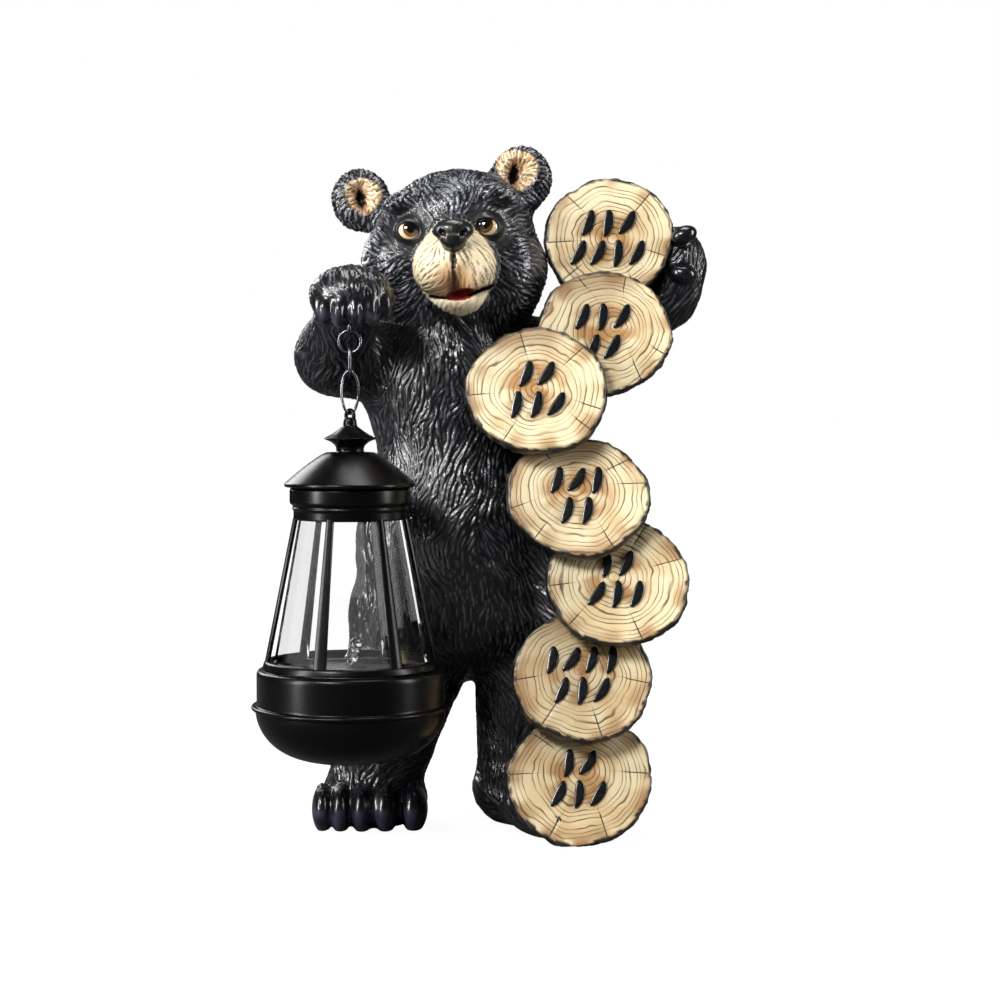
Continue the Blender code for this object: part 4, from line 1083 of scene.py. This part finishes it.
# %% Slice pieces
TAN = {"first": 0.0, "second": 0.25, "third": 0.0, "fourth": 0.1, "fifth": 0.15, "sixth": 0.6,
       "seventh": 0.45}
for name, (centre, half_width, half_height, lean, growth, _, pith) in SLICES.items():
    sizes = (centre, half_width, half_height, lean, growth, pith)
    points, ring, crack, on_face, share, spot, bark = slice_points(*sizes)
    rows = len(share)
    ring, crack, on_face, share, bark = (values.ravel() for values in (ring, crack, on_face, share, bark))
    across, upward = spot.reshape(-1, 2).T
    cloud = noise(points, 7.0, growth)
    washed = fade(np.hypot(across / 1.15, upward), 17, 8) * fade(noise(points, 4.5, growth + 2), -0.5, 0.4)
    # Painted shadow on the upper part of the face, where the slice above overlaps it.
    under = fade(upward, 0.35 * half_height, 0.95 * half_height) * fade(across, 22, 4) * (name != "first")
    edge = fade(share + 0.030 * noise(points, 2.0, 5.5), 0.965, 0.984) * on_face + (1 - on_face)
    tone = painted("#e6d6ae", len(points), ("#c9a46c", 0.5 * TAN[name] + 0.2 + 0.45 * cloud),
                   ("#a66e24", 0.85 * washed),
                   ("#8a5a26", 0.8 * fade(share, 0.72, 1.0) * fade(cloud, -0.3, 0.6)),
                   ("#7d5a32", 0.65 * under), ("#1b1712", edge),
                   # The raised bumps of the bark are lighter: partly grey-brown bark, partly a painted
                   # highlight.
                   ("#7d6a4c", 0.6 * edge * fade(bark, 0.1, 0.8)))
    made = build(f"log_{name}", in_world(points), grid_faces(rows, ROUND))
    for label, values in (("paint", tone), ("ring", ring), ("sawn", 1 - edge), ("crack", crack)):
        give(made, label, values)
    weld(made)
    declare(made, "cast_statue", sawn_paint)
print("slices of", 2 * rows * ROUND, "triangles")

# %% [markdown]
# ## Raised strokes
#
# The real slices carry painted lettering. Here two short rows of dabs stand in its place, like brush
# strokes and not like letters: full at one end, narrow at the other, slightly bent, and domed. They
# are glossy black enamel and stand 1.1 mm proud, as in the model.

# %% Stroke surface
STROKE_LENGTH, STROKE_WIDTH, STROKE_PROUD, STROKE_SUNK = 12.5, 5.0, 1.1, 1.4
STROKE_PITCH, ROW_PITCH = 8.6, 13.5
DAB_ROUND = 40


def dab_points():
    """One dab: its outline angle times a profile that climbs the side, rounds over and closes on top.
    Along is the cosine, across the sine, tapered towards one end and bent by the square of along."""
    out = np.array((0.0, 1.0, 1.0, 1.0, 0.98, 0.93, 0.84, 0.5, 0.0))
    high = (-STROKE_SUNK, -STROKE_SUNK, 0.2, 0.6, 0.85, 1.02, STROKE_PROUD, STROKE_PROUD, STROKE_PROUD)
    angle, out = np.meshgrid(circle(DAB_ROUND), out)
    along = np.cos(angle)
    across = np.sin(angle) * (0.86 + 0.14 * along) + 0.35 * along ** 2
    high = np.repeat(np.array(high)[:, None], DAB_ROUND, 1)
    return np.stack([out * along * STROKE_LENGTH / 2, out * across * STROKE_WIDTH / 2, high], -1)


DAB = dab_points()
black_enamel, tree, shader = new_material("black_enamel", Base_Color=linear("#050506"), IOR=1.5,
                                          Coat_Weight=0.6)
roughen(shader, 2, 2.0, 0.16, 0.34)

# %% Stroke pieces
for name, (centre, _, _, lean, growth, rows, _) in SLICES.items():
    shells, faces = [], []
    for row, count in enumerate(rows):
        for place in range(count):
            tilt = math.radians(68) + math.radians(14) * math.sin(growth + 2.1 * place + 3.7 * row)
            turn = np.array(Matrix.Rotation(tilt, 3, "Z"))
            spot = np.array(((place - (count - 1) / 2) * STROKE_PITCH, (0.5 - row) * ROW_PITCH, 0))
            faces.append(grid_faces(len(DAB), DAB_ROUND) + len(shells) * DAB.shape[0] * DAB_ROUND)
            shells.append(stand_up(DAB.reshape(-1, 3) @ turn.T + spot, centre, lean))
    made = weld(build(f"strokes_{name}", in_world(np.concatenate(shells)), np.concatenate(faces)))
    declare(made, "cast_statue", black_enamel)

# %% [markdown]
# ## Chain and lug
#
# A lug cast under the paw holds a round ring, a short link seen edge-on and a long oval one that holds
# the lantern. They are bent from 1.2 mm steel wire, blackened, and so rubbed bright in places.

# %% Wire
WIRE_ROUND, CHAIN_WIRE = 12, 0.62


def wire(line, radius):
    """A closed round wire: at each point of the line the outward direction, laid square to the run, and
    its cross product with the run carry a circle."""
    run = unit(np.roll(line, -1, 0) - np.roll(line, 1, 0))
    out = line - line.mean(axis=0)
    out = unit(out - (out * run).sum(axis=1)[:, None] * run)
    side = np.cross(run, out)
    angle = circle(WIRE_ROUND)[None, :, None]
    spokes = np.cos(angle) * out[:, None] + np.sin(angle) * side[:, None]
    return (line[:, None] + radius * spokes).reshape(-1, 3)


def ring_line(radius, steps=96):
    """A circle that stands in the XZ plane."""
    angle = circle(steps)
    return np.stack([radius * np.cos(angle), 0 * angle, radius * np.sin(angle)], 1)


def link_line(length, width, first, last, steps=120):
    """An oval link of outer length and width, whose plane turns from the first angle to the last."""
    angle = circle(steps)
    across = (width / 2 - CHAIN_WIRE) * np.sign(np.sin(angle)) * np.abs(np.sin(angle)) ** 0.85
    turn = np.radians(first + (last - first) * (1 - np.cos(angle)) / 2)
    up = (length / 2 - CHAIN_WIRE) * np.cos(angle)
    return np.stack([across * np.cos(turn), across * np.sin(turn), up], 1)


def closed_wire(name, line, radius):
    """The wire as a piece: a grid closed in both directions."""
    points = wire(line, radius)
    faces = grid_faces(len(line) + 1, WIRE_ROUND) % len(points)
    return weld(build(name, points * MM, faces), 0.001)


# %% Wire pieces
steel, tree, shader = new_material("blackened_steel", Base_Color=linear("#6a6a6f"), Metallic=1.0)
roughen(shader, 4, 2.0, 0.12, 0.42)


def box_middle(node):
    """Middle of a node's box, in millimetres."""
    low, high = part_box(node)
    return (np.array(low) + np.array(high)) / (2 * MM)


links = {"chain_ring": ring_line(4.6), "chain_short_link": link_line(12.0, 4.8, 90, 90),
         "chain_long_link": link_line(19.0, 8.4, -20, 40)}
for node, line in links.items():
    declare(closed_wire(f"{node}_wire", line + box_middle(node), CHAIN_WIRE), node, steel)
lug_line = ring_line(2.7)[:, [1, 0, 2]] + np.array((-62.6, -70.0, 221.2)) + FIGURE_PLACE
declare(closed_wire("paw_lug", lug_line, 0.9), "cast_statue", black_enamel)

# %% [markdown]
# ## Lantern
#
# The lantern is moulded in satin black plastic. All its round pieces are profiles turned about one
# upright axis: a line of radius and height, drawn once, carried round. The line's corners are eased by
# cutting each one twice, which is how a mould's edges look.

# %% Turned pieces
AXIS = box_middle("lantern_base")[:2]
TURNS = 96


def eased(line, rounds, reach=0.35):
    """Cuts each inner corner of a line at most that far from it, a number of times."""
    line = np.array(line, float)
    for _ in range(rounds):
        middle = line[1:-1]
        cuts = []
        for towards in (line[:-2] - middle, line[2:] - middle):
            long = np.maximum(np.linalg.norm(towards, axis=1), TINY)[:, None]
            cuts.append(middle + towards * np.minimum(0.25, reach / long))
        line = np.concatenate([line[:1], np.stack(cuts, 1).reshape(-1, 2), line[-1:]])
    return line


def carried(line, angle, across, deep):
    """A line of (radius, height) carried through the angles about an upright axis."""
    line = np.array(line, float)
    return np.stack([line[:, :1] * np.cos(angle) + across, line[:, :1] * np.sin(angle) + deep,
                     np.repeat(line[:, 1:], len(angle), 1)], -1).reshape(-1, 3)


def turned(name, profile, rounds=2):
    """A line of (radius, height) turned about the lantern's axis, in millimetres of the frame."""
    line = eased(profile, rounds)
    points = carried(line, circle(TURNS), *AXIS)
    made = weld(build(name, points * MM, grid_faces(len(line), TURNS)), 0.002)
    made.data.set_sharp_from_angle(angle=math.radians(50))
    return made


def span(node):
    """Foot and top of a node, in millimetres."""
    low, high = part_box(node)
    return low[2] / MM, high[2] / MM


# %% [markdown]
# ## Black plastic
#
# Moulded plastic with a fine spark-eroded grain: black, satin, with broad soft highlights on the round
# sides and a thin bright line on each edge. The grain is 0.7 mm, coarser than real, so that it shows.

# %% Plastic material
black_plastic, tree, shader = new_material("satin_black_plastic", Base_Color=linear("#030303"), IOR=1.40,
                                          Specular_IOR_Level=0.27)
roughen(shader, 14, 2.0, 0.22, 0.33)
dent(shader, 0.7, 2.0, 0.12, 0.05)

# %% Roof
FINIAL_TALL, ROOF_WALL = 11.2, 1.6
roof_foot, eye_top = span("lantern_roof")
brim = roof_foot + 1.4
dome_top = brim + 13.0
finial = dome_top + FINIAL_TALL
stem = finial + 2.6
dome = [(10 + 17.2 * s, brim + 0.3 + 12.7 * (1 - s ** 1.2)) for s in np.linspace(0, 1, 9)]
roof_line = [(0, stem + 0.8), (2.5, stem + 0.4), (2.8, (stem + finial) / 2), (2.9, finial)]
disc = ((0.30, 0.05), (0.39, 0.11), (0.54, 0.22), (0.71, 0.33), (0.93, 0.44), (1.0, 0.47), (1.0, 0.50),
        (0.95, 0.53), (0.76, 0.60), (0.62, 0.70), (0.54, 0.80))
roof_line += [(10.9 * out, finial - FINIAL_TALL * down) for out, down in disc]
roof_line += [(5.7, dome_top + 0.4), (6.2, dome_top + 0.05)] + dome
roof_line += [(27.4, brim), (27.5, brim - 0.7), (27.2, roof_foot), (25.9, roof_foot)]
roof_line += [(r - ROOF_WALL, max(h - ROOF_WALL, roof_foot + 0.1)) for r, h in dome[::-1]]
roof_line += [(0, dome_top - ROOF_WALL)]
eye_line = ring_line(2.4) @ np.array(Matrix.Rotation(math.radians(-45), 3, "Z")).T
declare(turned("roof_shell", roof_line), "lantern_roof", black_plastic)
roof_eye = closed_wire("roof_eye", eye_line + (*AXIS, eye_top - 3.2), 0.85)
declare(roof_eye, "lantern_roof", black_plastic)
print("roof from", round(roof_foot, 1), "to", round(eye_top, 1))

# %% [markdown]
# ## Cage
#
# Below the dome sit two bands with a cove between them, and from these six bars lean out to a ring on
# the deck, the front two a little closer together than the rest. A bar is a flat strip with a raised
# middle, wider at its foot: one eight-sided section, scaled and moved along the bar.

# %% Cage
cage_foot, cage_top = span("lantern_cage")
bars_top = cage_top - 13.3
collar = ((21.7, 0), (24.6, 0), (25.3, 0.7), (25.3, 6.2), (24.9, 6.8), (24.1, 7.3), (24.0, 8.0), (24.3, 8.4),
          (24.3, 8.9), (23.7, 9.4), (23.7, 13.0), (23.4, 13.3), (21.7, 13.3), (21.7, 0))
sill = ((33.2, 3.2), (35.4, 3.2), (36.2, 2.6), (36.8, 0.5), (36.8, 0), (33.2, 0), (33.2, 3.2))
BAR_TURNS = (-172, -107, -53.5, 8, 68, 129)
BAR_OUT, BAR_WIDE = (35.0, 22.7), (5.8, 3.4)
cage_pieces = [turned("cage_collar", [(out, cage_top - down) for out, down in collar]),
               turned("cage_sill", [(out, cage_foot + up) for out, up in sill])]


def bar_points(turn):
    """Six sections from foot to top, each a strip 2 mm thick with chamfered edges and a raised middle."""
    across = np.array((-1, -0.82, -0.3, 0.3, 0.82, 1, 0.8, -0.8)) / 2
    proud = np.array((0.2, 0.75, 1.1, 1.1, 0.75, 0.2, -1.0, -1.0))
    share = np.linspace(0, 1, 6)[:, None]
    radius = BAR_OUT[0] + (BAR_OUT[1] - BAR_OUT[0]) * share + proud
    width = (BAR_WIDE[0] + (BAR_WIDE[1] - BAR_WIDE[0]) * share) * across
    high = cage_foot + 1.6 + (bars_top - 0.6 - cage_foot) * share + 0 * proud
    cosine, sine = math.cos(turn), math.sin(turn)
    place = (radius * cosine - width * sine + AXIS[0], radius * sine + width * cosine + AXIS[1], high)
    return np.stack(place, -1)


for number, turn in enumerate(BAR_TURNS):
    section = bar_points(math.radians(turn))
    ends = [np.repeat(row.mean(axis=0)[None], 8, 0)[None] for row in (section[0], section[-1])]
    points = np.concatenate([ends[0], section, ends[1]])
    bar = weld(build(f"cage_bar_{number}", points.reshape(-1, 3) * MM, grid_faces(8, 8)), 0.002)
    bar.data.set_sharp_from_angle(angle=math.radians(30))
    cage_pieces.append(bar)
for piece in cage_pieces:
    declare(piece, "lantern_cage", black_plastic)

# %% [markdown]
# ## Base and bowl
#
# The drum carries the deck on top and a thin flange round its foot; the bowl is pressed on below. Both
# are hollow shells of 2 mm, as the real ones must be to hold a cell and a switch.

# %% Base and bowl
base_foot, deck = span("lantern_base")
bowl_foot, bowl_top = span("lantern_bowl")
flange = base_foot + 1.9
base_line = [(0, deck), (36.9, deck), (37.3, deck - 0.2), (38.5, deck - 0.5), (39.1, deck - 1.1),
             (39.4, deck - 2.2), (39.4, flange + 0.5), (39.7, flange), (41.2, flange), (41.8, flange - 0.9),
             (41.2, base_foot), (37.4, base_foot), (37.4, deck - 2.0), (0, deck - 2.0)]


def bowl_line(radius, deep):
    """A quarter turn: radius by the cosine to the 0.62, depth by the sine to the 1.1."""
    angle = np.linspace(0, np.pi / 2, 26)
    out = radius * np.maximum(np.cos(angle), 0) ** 0.62
    out[-1] = 0
    return list(zip(out, bowl_top - deep * np.sin(angle) ** 1.1))


bowl_deep = bowl_top - bowl_foot
bowl_shell = bowl_line(37.9, bowl_deep - 2.0)[::-1] + bowl_line(39.9, bowl_deep)
declare(turned("base_drum", base_line), "lantern_base", black_plastic)
declare(turned("bowl_shell", bowl_shell, 0), "lantern_bowl", black_plastic)
print("base", round(base_foot, 1), "to", round(deck, 1), "bowl from", round(bowl_foot, 1))

# %% [markdown]
# ## Clear sleeve
#
# Six flat panes meet at the bars: one clear styrene sleeve, 1.5 mm thick. Glass would be heavier and
# look the same. The shader's own values make it see-through: full transmission and IOR 1.45.

# %% Sleeve
glass_foot, glass_top = span("lantern_glass")
foot_radius, top_radius, wall = 32.5, 21.1, 1.7
sleeve = [(foot_radius - wall, glass_foot), (top_radius - wall, glass_top), (top_radius, glass_top),
          (foot_radius, glass_foot)]
points = carried(sleeve, np.radians(BAR_TURNS), *AXIS)
panes = weld(build("clear_sleeve", points * MM, grid_faces(5, 6) % len(points)), 0.002)
panes.data.shade_flat()
clear, tree, shader = new_material("clear_styrene", Base_Color=WHITE, Roughness=0.02, IOR=1.45,
                                   Transmission_Weight=1.0)
dent(shader, 18, 1.0, 0.05, 0.2)
declare(panes, "lantern_glass", clear)

# %% [markdown]
# ## Lamp
#
# A small clear lamp leans on two wire leads in the middle of the deck: a cylinder with a round head and
# a lip, and inside it a metal post and cup, which are what catches the light.

# %% Lamp
LAMP_LEAN, LAMP_LENGTH, LAMP_RADIUS, LEAD_LENGTH = 17, 9.5, 2.5, 3.0
lamp_turn = np.array(Matrix.Rotation(math.radians(LAMP_LEAN), 3, "Y"))
lamp_foot = np.array((*AXIS, deck + 0.3 + LEAD_LENGTH))


def leaning(name, line, turns=32, shift=0.0):
    """A line of (radius, height) turned about an upright axis, shifted across, then leaned."""
    own = carried(line, circle(turns), shift, 0.0)
    return weld(build(name, (own @ lamp_turn.T + lamp_foot) * MM, grid_faces(len(line), turns)), 0.002)


head = [(LAMP_RADIUS * math.sin(a), LAMP_LENGTH - LAMP_RADIUS * (1 - math.cos(a)))
        for a in np.linspace(0, np.pi / 2, 10)]
clear_lamp, tree, shader = new_material("clear_epoxy", Base_Color=linear("#f4f8f4"), Roughness=0.04, IOR=1.5,
                                        Transmission_Weight=1.0)
dent(shader, 1.2, 1.0, 0.2, 0.1)
declare(leaning("lamp_shell", head + [(2.5, 0.8), (2.9, 0.8), (2.9, 0), (0, 0)]),
        "lantern_lamp", clear_lamp)
tinned, tree, shader = new_material("tinned_wire", Base_Color=linear("#c9c9c6"), Metallic=1.0)
roughen(shader, 0.8, 1.0, 0.2, 0.4)
for number, side in enumerate((-1.0, 1.0)):
    lead = [(0, -LEAD_LENGTH), (0.3, -LEAD_LENGTH), (0.3, -0.05), (0, -0.05)]
    post = [(0, 0.4), (0.45, 0.4), (0.45, 4.0 - side), (0.9, 4.6 - side), (0.9, 5.0 - side), (0, 5.0 - side)]
    for label, line in (("lead", lead), ("post", post)):
        declare(leaning(f"lamp_{label}_{number}", line, 12, side), "lantern_lamp", tinned)
